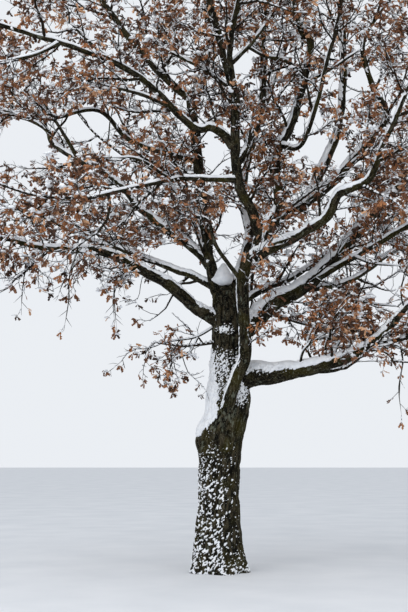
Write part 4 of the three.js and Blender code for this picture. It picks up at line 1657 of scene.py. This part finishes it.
    def fork(self) -> Object:
        """Makes the trunk and the starts of the limbs on it as one skin.

        Returns:
            The mesh object.
        """
        heights = np.linspace(-self.below, TRUNK_TOP - 0.06, 60)
        rings = [trunk_at(height) for height in heights]
        lines = [WoodLine(np.array([(*centre[:2], z) for (centre, _), z in zip(rings, heights)]),
                          np.array([radius for _, radius in rings]))]
        parts = [self.column()]
        for limb in self.skeleton.limbs.values():
            end = self.welded(limb)
            if end:
                lines.append(self.line(limb, 0, end, ((end - 0.2, 1), (end, 0.8))))
                parts.append(self.tube("start", lines[-1], 8))
        made = self.joined(parts, "bark_trunk_and_fork")
        modifier = made.modifiers.new("union", "REMESH")
        modifier.mode = "VOXEL"
        modifier.voxel_size = self.voxel
        bpy.ops.object.modifier_apply(modifier=modifier.name)
        modifier = made.modifiers.new("fillet", "SMOOTH")
        modifier.factor, modifier.iterations = self.fillet
        bpy.ops.object.modifier_apply(modifier=modifier.name)
        self.swell_trunk(made)
        self.relief(made, lines, self.fork_furrows)
        bpy.ops.object.mode_set(mode="EDIT")
        bpy.ops.mesh.select_all(action="SELECT")
        bpy.ops.mesh.bisect(plane_co=(0, 0, 0), plane_no=(0, 0, 1), use_fill=True, clear_inner=True,
                            threshold=1e-6)
        bpy.ops.object.mode_set(mode="OBJECT")
        bpy.ops.object.shade_smooth()
        return made

    def welded(self, limb: Limb) -> float:
        """How many metres of a limb are one skin with the trunk.

        Args:
            limb: the limb.

        Returns:
            The length, or 0.
        """
        if limb.name == "front_stem":
            return limb.length
        if limb.carrier == "trunk" and limb in LIMBS:
            return self.stub + self.stub_more * limb.base
        if limb.carrier == "front_stem" and limb.base > self.short_base or limb.name == "right_leader":
            return self.short_stub
        return 0

    def bough(self, limb: Limb) -> Object:
        """Makes the rest of one limb.

        Args:
            limb: the limb.

        Returns:
            Its mesh object.
        """
        end = self.welded(limb)
        start = max(end - self.overlap, 0)
        length = limb.length
        carrier = self.skeleton.limbs.get(limb.carrier)
        if end:
            share, run = self.overlap_slim
            slim = ((start, share), (start + run, 1))
        else:
            share, run = self.sunk_slim
            within = carrier.radius(limb.at / len(carrier.legs)) if carrier else limb.base
            slim = ((0, min(1, share * within / limb.radius(0))), (run * within, 1))
        if limb in THIN_LIMBS or limb in HANGING:
            slim = (*slim, (length - 0.3, 1), (length, 0.35))
        line = self.line(limb, start, None, slim)
        rounds = min(max(round(math.pi * limb.base / self.facet) - 2, 3), 16)
        made = self.tube(limb.name, line, rounds)
        self.relief(made, [line], self.bough_furrows)
        return made

    def build(self) -> list[Object]:
        """Makes all the bark.

        Returns:
            The finished pieces.
        """
        made = [self.fork()]
        left, right = [], []
        for limb in self.skeleton.limbs.values():
            if limb.name == "front_stem":
                continue
            piece = self.bough(limb)
            (left if limb.course.point(1).x < self.parting else right).append(piece)
        for name, parts in (("bark_boughs_left", left), ("bark_boughs_right", right)):
            made.append(self.joined(parts, name))
            bpy.ops.object.shade_smooth()
        for piece in made:
            dress(piece, self.finish)
        return made


@dataclass
class Leaves:
    """Lobed leaves, folded along the midrib and curled."""

    leaves: list
    shortest: float = 0.057
    longest: float = 0.104
    fold: tuple = (0.25, 1.3)  # rise of a leaf's halves from its midrib, and of its tip
    curl: tuple = (-0.5, 0.9)
    draw: np.random.Generator = field(default_factory=lambda: np.random.default_rng(5))

    # Places along the leaf and half widths, over its length: midrib, then one side's outline.
    MIDRIB = ((0, 0), (0.45, 0), (1, 0))
    SIDE = ((0.22, 0.13), (0.33, 0.07), (0.52, 0.25), (0.63, 0.13), (0.8, 0.24))
    SIDE_FACES = ((0, 3, 4), (0, 4, 1), (1, 4, 5), (1, 5, 6), (1, 6, 2), (6, 7, 2))

    def outline(self) -> tuple[Rows, Rows]:
        """The flat leaf.

        Returns:
            Its vertices and its triangles.
        """
        flat = [*self.MIDRIB, *self.SIDE, *((x, -y) for x, y in self.SIDE)]
        right = np.array(self.SIDE_FACES)
        mirrored = np.where(right > 2, right + len(self.SIDE), right)[:, ::-1]
        return np.array(flat, float), np.concatenate([right, mirrored])

    def build(self, finishes: list[Material]) -> list[Object]:
        """Makes the leaves, one piece for each tint.

        Args:
            finishes: the tints' materials.

        Returns:
            The pieces.
        """
        flat, faces = self.outline()
        made = []
        for tint, finish in enumerate(finishes):
            rows = [row[:3] for row in self.leaves if row[3] == tint]
            root, ahead, face = (np.array(column) for column in zip(*rows))
            count = len(rows)
            across = unit(np.cross(ahead, face))
            over = np.cross(ahead, across)
            length = self.draw.uniform(self.shortest, self.longest, count)[:, None]
            fold = self.draw.uniform(*self.fold, count)[:, None]
            curl = self.draw.uniform(*self.curl, count)[:, None]
            x, y = flat[:, 0], flat[:, 1]
            height = fold * np.abs(y) + curl * x**2
            parts = ((ahead, x), (across, y), (over, height))
            vertices = root[:, None] + sum(way[:, None] * (run * length)[..., None] for way, run in parts)
            shapes = Shapes()
            shapes.copies(vertices, faces)
            made.append(shapes.piece(finish.name, finish, Slot.LEAVES, smooth=False))
        return made


@dataclass
class Twigs:
    """The skins of stems, branches and twigs."""

    growth: Growth
    finish: Material
    stem_sides: int = 8
    branch_sides: int = 5
    twig_sides: int = 3

    @staticmethod
    def stacked(wood: list) -> tuple[Rows, Rows]:
        """Turns pairs of points and radii, all of equal count, into two arrays."""
        return np.array([line for line, _ in wood]), np.array([radii for _, radii in wood])

    def build(self) -> list[Object]:
        """Makes the pieces.

        Returns:
            The pieces.
        """
        branches, twigs, shoots = self.growth.wood
        groups = (("branches", (self.growth.stems, self.stem_sides), (branches, self.branch_sides)),
                  ("twigs", (twigs, self.twig_sides)), ("shoots", (shoots, self.twig_sides)))
        made = []
        for name, *parts in groups:
            shapes = Shapes()
            for wood, sides in parts:
                shapes.copies(*rods(*self.stacked(wood), sides))
            made.append(shapes.piece(name, self.finish, Slot.BARK))
        return made


@dataclass
class Snow:
    """Snow: caps along the limbs, plaster on the trunk, ridges on twigs and pads on the leaves."""

    finish: Material
    thin: float = 0.016  # a cap's least thickness, and how much more it is for a metre of radius
    share: float = 0.28
    sunk: float = 0.006  # how far a layer's underside lies under the bark
    # Caps: how far they lean to the wind, how level bark must be to hold them, and how they fade.
    cap: tuple = (0.32, 0.43, 0.3)
    ragged: tuple = ((0.16, 5.0, 4.4), (0.17, 21.0, 1.1), (0.16, 44.0, 6.2))
    lumps: tuple = ((0.5, 3.5, 8.1), (0.3, 11.0, 2.6))
    cap_up: float = 0.55  # part of their thickness that stands straight up, and the same elsewhere
    side_up: float = 0.1
    heap_size: tuple = (0.158, 0.22, 0.37)
    heap_at: tuple = (0.07, 0.02, 4.43)
    # Its outline: shares of its height with shares of its half width.
    heap_outline: tuple = ((0, 0.12), (0.03, 0.5), (0.12, 0.83), (0.28, 1), (0.42, 0.94), (0.6, 0.76),
                           (0.8, 0.48), (0.93, 0.28), (1, 0.08))
    heap_bank: float = 0.42  # how much further it reaches to the left, low down
    heap_rough: tuple = ((0.02, 6.0, 3.3), (0.006, 25.0, 0.0))
    # Plaster: the side that holds it, how squarely the bark has to face it to start and to be full,
    # the heights between which the foot fills up and how far, and how much less the lee holds.
    plaster_side: tuple = (-0.72, -0.69, 0)
    plaster_square: tuple = (0.2, 0.62)
    plaster_foot: tuple = (0.55, 0.05)
    foot_share: float = 0.85
    lee: float = 0.5
    slant: tuple = ((0.48, 0, -0.68), (0, 1, 0), (0.34, 0, 0.98))  # the frame of its slanting flakes
    coarse: tuple = ((0.72, 21.0, 7.7), (0.85, 42.0, 2.9))
    fine: tuple = ((0.25, 21.0, 7.7), (1, 50.0, 4.1))
    fine_from: tuple = (1.3, 1.7)  # heights between which its coarse flakes turn fine
    plaster_fade: float = 0.2
    # Heights with how much the trunk's bark holds there.
    plaster_at: tuple = ((0, -0.04), (0.2, -0.14), (0.8, -0.17), (1.4, -0.15), (1.7, -0.24), (1.95, -0.4),
                         (2.1, -1.1), (2.42, -1.1), (2.55, -0.4), (2.78, -0.2), (3.3, -0.1), (3.6, -1.1))
    # Heights with the edge of the band on the trunk's left: 1 holds none, 0 reaches to the front.
    band_at: tuple = ((1.94, 1.4), (2.06, 0.97), (2.3, 0.72), (2.55, 0.72), (2.78, 0.8), (3, 0.92),
                      (3.25, 0.99), (3.42, 0.99), (3.55, 1.3))
    band_side: tuple = (-0.96, -0.28)
    band_fade: float = 0.1
    edges: tuple = ((0.1, 9.0, 5.5), (0.07, 34.0, 1.9))
    # Snow on the stem, below its bend and above: its side, how squarely the bark faces it, and fade.
    stem_bend: float = 3.75
    flank: tuple = ((-1.0, -0.1, 0.55), 0.84, 0.2)
    seam: tuple = ((-1.0, 0.25, 0.0), 0.955, 0.1)
    seam_ends: tuple = ((3.95, 3.8), (4.7, 4.85))  # heights between which it runs out at each end
    seam_less: float = 0.25
    depths: tuple = (0.014, 0.034, 0.02)  # thickness of the plaster, the band and the stem's snow
    # Patches: half width, half height, x, height and how much more they hold.
    patches: tuple = ((0.14, 0.26, 0.34, 2.68, 0.9), (0.19, 0.1, 0.11, 3.71, 1.45),
                      (0.16, 0.13, -0.4, 1.98, -1), (0.2, 0.34, 0.08, 3.05, 0.16),
                      (0.2, 0.1, -0.2, 2.1, 0.75))
    # Shares of the sprays of leaves with one pad and with a heap of them, and how many are in a heap.
    single_pads: float = 0.38
    heaped_pads: float = 0.035
    in_heap: int = 6
    # Pads: their rings' heights and widths, their poles, their least and greatest size, how uneven
    # they are, how high they lie, and how far they and those of a heap stray.
    pad_sides: int = 5
    pad_rings: tuple = ((-0.1, 1.0), (0.6, 0.62))
    pad_poles: tuple = (-0.6, 1)
    pad_sizes: tuple = ((0.025, 0.016, 0.01), (0.07, 0.045, 0.03))
    pad_rough: tuple = (-0.35, 0.3)
    pad_up: float = 0.012
    pad_stray: float = 0.018
    heap_stray: tuple = (0.035, 0.035, 0.022)
    heap_stretch: tuple = (0.85, 1.15, 1.5)
    # Ridges on stems, branches, twigs and shoots: the share that holds them, their height, and how
    # many lie on a joint.
    ridges: tuple = ((1.0, 0.028, 2), (0.9, 0.025, 2), (0.62, 0.018, 1), (0.32, 0.014, 1))
    ridge_past: float = 0.12  # how far one may reach past its part of the joint
    draw: np.random.Generator = field(default_factory=lambda: np.random.default_rng(9))

    def shell(self, piece: Object, catch: Rows, lift: Rows) -> Shapes:
        """Makes a closed layer of snow over part of a mesh.

        Args:
            piece: the mesh object that it lies on.
            catch: for each vertex, over 0 where snow holds, up to 1 where it is full.
            lift: how far full snow stands off, as a vector for each vertex.

        Returns:
            The layer.
        """
        places, normals = mesh_arrays(piece)
        quads = quads_of(piece)
        whole, cut, ends, share = self.outlined(quads, catch)

        def with_rim(rows: Rows) -> Rows:
            """Adds the rows between, where faces are cut."""
            between = rows[ends[:, 0]] + (rows[ends[:, 1]] - rows[ends[:, 0]]) * share[:, None]
            return np.concatenate([rows, between])

        places, normals, lift = with_rim(places), with_rim(normals), with_rim(lift)
        held = np.concatenate([catch, np.zeros(len(ends))])
        used = np.unique(np.concatenate([faces.ravel() for faces in (whole, *cut)]))
        number = np.full(len(places), -1)
        number[used] = np.arange(len(used))
        tops = [number[faces] for faces in (whole, *cut)]
        rise = np.sqrt(np.clip(held[used], 0, 1))[:, None]
        outer = places[used] + lift[used] * rise
        inner = places[used] - normals[used] * self.sunk
        bottoms = [top[:, ::-1] + len(used) for top in tops]
        edges = np.concatenate([np.stack([top, np.roll(top, -1, axis=1)], -1).reshape(-1, 2) for top in tops])
        keys = edges[:, 0] * len(used) + edges[:, 1]
        back = edges[:, 1] * len(used) + edges[:, 0]
        rim = edges[~np.isin(keys, back)]
        walls = np.stack([rim[:, 1], rim[:, 0], rim[:, 0] + len(used), rim[:, 1] + len(used)], 1)
        made = Shapes()
        made.add(np.concatenate([outer, inner]), *tops, *bottoms, walls)
        return made

    @staticmethod
    def outlined(quads: Rows, catch: Rows) -> tuple:
        """Cuts faces where snow ends, so that its outline is smooth.

        Args:
            quads: faces of four corners.
            catch: for each vertex, over 0 where snow holds.

        Returns:
            The whole quads; the triangles and quads that are cut; and for each new corner, which
            counts on from the vertices, the two ends of its edge and its share of the way.
        """
        held = catch > 0
        whole = quads[held[quads].all(1)]
        partly = quads[held[quads].any(1) & ~held[quads].all(1)]
        corners = np.concatenate([partly[:, (0, 1, 2)], partly[:, (0, 2, 3)]])
        inside = held[corners]
        full = corners[inside.all(1)]
        cut, edges = [], []
        for count in (1, 2):
            rows = corners[inside.sum(1) == count]
            odd = held[rows].argmax(1) if count == 1 else held[rows].argmin(1)
            turned = np.take_along_axis(rows, (odd[:, None] + np.arange(3)) % 3, 1)
            cut.append(turned)
            edges += [turned[:, (0, 1)], turned[:, (0, 2)]]
        sizes = np.cumsum([0, *(len(rows) for rows in edges)])
        ends = np.sort(np.concatenate(edges), axis=1)
        ends, index = np.unique(ends, axis=0, return_inverse=True)
        index = index.ravel() + len(catch)
        new = [index[a:b] for a, b in zip(sizes, sizes[1:])]
        one, two = cut
        triangles = np.concatenate([full, np.stack([one[:, 0], new[0], new[1]], 1)])
        fours = np.stack([new[2], two[:, 1], two[:, 2], new[3]], 1)
        low, high = catch[ends[:, 0]], catch[ends[:, 1]]
        return whole, (triangles, fours), ends, low / (low - high)

    def caps(self, places: Rows, normals: Rows) -> Rows:
        """Tells where snow lies on top of limbs.

        Args:
            places: the skin's vertices.
            normals: their normals.

        Returns:
            Over 0 where it lies.
        """
        lean, level, fade = self.cap
        toward = np.array((UP + WIND * lean).normalized())
        return (normals @ toward - level + bumps(places, *self.ragged)) / fade

    @staticmethod
    def lifted(normals: Rows, up: float | Rows, thick: Rows) -> Rows:
        """Snow of some thickness as vectors, of which a part stands straight up."""
        return (normals * (1 - up) + np.array(UP) * up) * thick[:, None]

    def on_boughs(self, piece: Object, name: str) -> Object:
        """Lays snow along the tops of boughs.

        Args:
            piece: the boughs' mesh.
            name: the snow's name.

        Returns:
            The snow.
        """
        places, normals = mesh_arrays(piece)
        thick = self.thin + self.share * numbers_of(piece, "girth")
        lift = self.lifted(normals, self.cap_up, thick * (1 + bumps(places, *self.lumps)))
        return self.shell(piece, self.caps(places, normals), lift).piece(name, self.finish, Slot.SNOW)

    def plaster(self, places: Rows, normals: Rows) -> Rows:
        """Tells where snow is driven into the trunk's bark.

        Args:
            places: the skin's vertices.
            normals: their normals.

        Returns:
            Over 0 where it holds.
        """
        x, z = places[:, 0], places[:, 2]
        heights, held = zip(*self.plaster_at)
        windward = smoothstep(*self.plaster_square, normals @ np.array(self.plaster_side))
        foot = self.foot_share * smoothstep(*self.plaster_foot, z)
        bias = np.interp(z, heights, held) - self.lee * (1 - np.maximum(windward, foot))
        for wide, high, out, up, more in self.patches:
            bias += more * np.exp(-(((x - out) / wide) ** 2) - ((z - up) / high) ** 2)
        slanted = places @ np.array(self.slant)
        coarse, fine = bumps(slanted, *self.coarse), bumps(slanted, *self.fine)
        share = smoothstep(*self.fine_from, z)
        return (coarse * (1 - share) + fine * share + bias) / self.plaster_fade

    def on_trunk(self, piece: Object) -> Object:
        """Plasters the trunk and lays caps on the starts of the limbs.

        Args:
            piece: the mesh of trunk and fork.

        Returns:
            The snow.
        """
        places, normals = mesh_arrays(piece)
        limb, girth = np.round(numbers_of(piece, "limb")), numbers_of(piece, "girth")
        z = places[:, 2]
        trunk, stem = limb == 0, limb == 1
        caps = np.where(trunk | stem, -1, self.caps(places, normals))
        plaster = np.where(trunk, self.plaster(places, normals), -1)
        ragged = bumps(places, *self.edges)
        heights = [ring[0] for ring in TRUNK_RINGS]
        middle = np.stack([np.interp(z, heights, [ring[k] for ring in TRUNK_RINGS]) for k in (1, 2)], 1)
        round_it = unit(places[:, :2] - middle)
        band_edge = np.interp(z, *zip(*self.band_at))
        band = (round_it @ np.array(self.band_side) - band_edge + ragged) / self.band_fade
        side, square, fade = self.flank
        flank = (normals @ unit(np.array(side)) - square + ragged / 2) / fade
        broken = self.seam_less * sum(smoothstep(*ends, z) for ends in self.seam_ends)
        side, square, fade = self.seam
        seam = (normals @ unit(np.array(side)) - square + ragged / 3 - broken) / fade
        edge = np.where(z < self.stem_bend, flank, seam)
        layers = np.stack([caps, plaster, np.where(trunk, band, -1), np.where(stem, edge, -1)])
        best = layers.argmax(0)
        thick = np.stack([self.thin + self.share * girth, *(np.full(len(z), deep) for deep in self.depths)])
        up = np.where(best == 0, self.cap_up, self.side_up)[:, None]
        lift = self.lifted(normals, up, thick[best, np.arange(len(z))])
        return self.shell(piece, layers.max(0), lift).piece("snow_on_trunk", self.finish, Slot.SNOW)

    def on_twigs(self, growth: Growth) -> Object:
        """Lays ridges of snow along stems, branches and twigs.

        Args:
            growth: what has grown.

        Returns:
            The snow.
        """
        made = Shapes()
        up = np.array(UP)
        tips = np.array([(0, 1, 2), (0, 2, 3), (0, 3, 1), (4, 2, 1), (4, 3, 2), (4, 1, 3)])
        for wood, (share, deep, parts) in zip((growth.stems, *growth.wood), self.ridges):
            lines, radii = Twigs.stacked(wood)
            start, end = lines[:, :-1].reshape(-1, 3), lines[:, 1:].reshape(-1, 3)
            radius = radii[:, :-1].reshape(-1)
            for part in range(parts):
                run = end - start
                level = np.abs(unit(run)[:, 2]) < 0.8
                kept = level & (self.draw.random(len(run)) < share)
                a, run, thick = start[kept], run[kept], radius[kept][:, None]
                size = (len(a), 1)
                side = unit(np.cross(up, run)) * (thick * 1.2 + 0.004)
                low = part / parts - self.draw.uniform(0, self.ridge_past, size)
                high = (part + 1) / parts + self.draw.uniform(0, self.ridge_past, size)
                middle = low + (high - low) * self.draw.uniform(0.3, 0.7, size)
                height = thick * 0.8 + deep * self.draw.uniform(0.6, 1.3, size)
                under = a + run * middle + up * thick * 0.1
                rows = [a + run * low + up * thick * 0.6, under + side, under + up * height,
                        under - side, a + run * high + up * thick * 0.6]
                made.copies(np.stack(rows, 1), tips)
        return made.piece("snow_on_twigs", self.finish, Slot.SNOW)

    def on_leaves(self, growth: Growth) -> Object:
        """Sets pads of snow on the sprays of leaves.

        Args:
            growth: what has grown.

        Returns:
            The snow.
        """
        sides = self.pad_sides
        turn = 2 * np.pi * np.arange(sides) / sides
        shape = [(math.cos(a) * wide, math.sin(a) * wide, height)
                 for height, wide in self.pad_rings for a in turn]
        shape = np.array([*shape, *((0, 0, pole) for pole in self.pad_poles)])
        low, top = ring_fan(sides, 0, 2 * sides)[:, (1, 0, 2)], ring_fan(sides, sides, 2 * sides + 1)
        tips = np.array(growth.clumps)
        single = tips[self.draw.random(len(tips)) < self.single_pads]
        heaped = np.repeat(tips[self.draw.random(len(tips)) < self.heaped_pads], self.in_heap, axis=0)
        kept = np.concatenate([single + self.draw.normal(0, self.pad_stray, single.shape),
                               heaped + self.draw.normal(0, self.heap_stray, heaped.shape)])
        size = self.draw.uniform(*self.pad_sizes, (len(kept), 3))
        size[len(single):] *= self.heap_stretch
        angle = self.draw.uniform(0, np.pi, len(kept))
        rough = 1 + self.draw.uniform(*self.pad_rough, (len(kept), len(shape), 1))
        x, y, z = np.moveaxis(shape * rough * size[:, None], -1, 0)
        c, s = np.cos(angle)[:, None], np.sin(angle)[:, None]
        turned = np.stack([x * c - y * s, x * s + y * c, z], -1)
        made = Shapes()
        made.copies(turned + (kept + (0, 0, self.pad_up))[:, None], ring_quads(sides, 1), low, top)
        return made.piece("snow_on_leaves", self.finish, Slot.SNOW)

    def crotch(self) -> Object:
        """Models the heap of snow in the crotch, banked up against the leader behind it.

        Returns:
            The snow.
        """
        bpy.ops.object.select_all(action="DESELECT")
        bpy.ops.mesh.primitive_ico_sphere_add(subdivisions=5, radius=1)
        made = bpy.context.object
        made.name = made.data.name = "snow_in_crotch"
        places, _ = mesh_arrays(made)
        height = (places[:, 2] + 1) / 2
        wide, deep, tall = self.heap_size
        out = np.maximum(np.linalg.norm(places[:, :2], axis=1), NEAR_AXIS)
        x, y = (places[:, :2] / out[:, None]).T
        reach = np.interp(height, *zip(*self.heap_outline))
        left = 1 + self.heap_bank * np.maximum(-x, 0) * np.exp(-(((height - 0.2) / 0.16) ** 2))
        shaped = np.stack([x * wide * reach * left, y * deep * reach, height * tall], 1) + self.heap_at
        shaped += places * bumps(shaped, *self.heap_rough)[:, None]
        move_to(made, shaped)
        bpy.ops.object.shade_smooth()
        return dress(made, self.finish)


@dataclass
class Studio:
    """The pale floor, the soft light and the camera."""

    lens: float = 60
    pitch: float = 8.551  # degrees that the camera looks up
    far: float = 1000
    floor_size: float = 400
    floor_noise: tuple = (0.8, 4.0)
    floor_dark: tuple = (0.3, (0.66, 0.68, 0.71))
    floor_pale: tuple = (0.7, (0.73, 0.745, 0.77))
    floor_roughness: float = 0.9
    sky: tuple = (0.83, 0.86, 0.9, 1)
    crown: tuple = (0, 0, 5)  # what the lights face
    # Each light's name, place, width and power in watts.
    lights: tuple = (("key", (-9, -12, 16), 12, 1500), ("fill", (10, -10, 9), 12, 300))

    def build(self) -> None:
        """Makes all three."""
        bpy.ops.mesh.primitive_plane_add(size=self.floor_size)
        floor = bpy.context.object
        floor.name = "floor"
        made = Finish("pale_floor")
        colour = made.ramp(made.noise(made.place, *self.floor_noise), self.floor_dark, self.floor_pale)
        floor.data.materials.append(made.finish(colour, self.floor_roughness))
        world = bpy.data.worlds.new("overcast")
        world.use_nodes = True
        world.node_tree.nodes["Background"].inputs["Color"].default_value = self.sky
        bpy.context.scene.world = world
        for name, place, size, power in self.lights:
            light = bpy.data.lights.new(name, "AREA")
            light.size, light.energy = size, power
            lamp = bpy.data.objects.new(name, light)
            lamp.location = place
            lamp.rotation_euler = (Vector(self.crown) - lamp.location).to_track_quat("-Z", "Y").to_euler()
            bpy.context.scene.collection.objects.link(lamp)
        camera = bpy.data.cameras.new("camera")
        camera.lens = self.lens
        camera.clip_end = self.far
        eye = bpy.data.objects.new("camera", camera)
        eye.location = EYE
        eye.rotation_euler = (math.radians(90 + self.pitch), 0, 0)
        bpy.context.scene.collection.objects.link(eye)
        bpy.context.scene.camera = eye
        bpy.context.scene.view_settings.view_transform = "Standard"


def main() -> None:
    """Builds the tree and its studio."""
    logging.basicConfig(level=logging.INFO, format="%(message)s")
    skeleton = Skeleton()
    growth = Growth(skeleton)
    growth.build()
    bark = Bark(skeleton, BarkFinish().material()).build()
    twigs = Twigs(growth, TwigFinish().material()).build()
    leaves = Leaves(growth.leaves).build([finish.material() for finish in LEAF_FINISHES])
    snow = Snow(SnowFinish().material())
    layers = [snow.on_trunk(bark[0]), snow.on_boughs(bark[1], "snow_on_boughs_left"),
              snow.on_boughs(bark[2], "snow_on_boughs_right"), snow.on_twigs(growth),
              snow.on_leaves(growth), snow.crotch()]
    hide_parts("trunk", *(limb.name for limb in LIMBS))
    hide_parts(*(mass.name for mass in MASSES))
    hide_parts(*(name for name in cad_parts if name.startswith("snow_")))
    Studio().build()
    log.info("%d leaf pieces, %d snow pieces", len(leaves), len(layers))


if __name__ == "__main__":
    main()
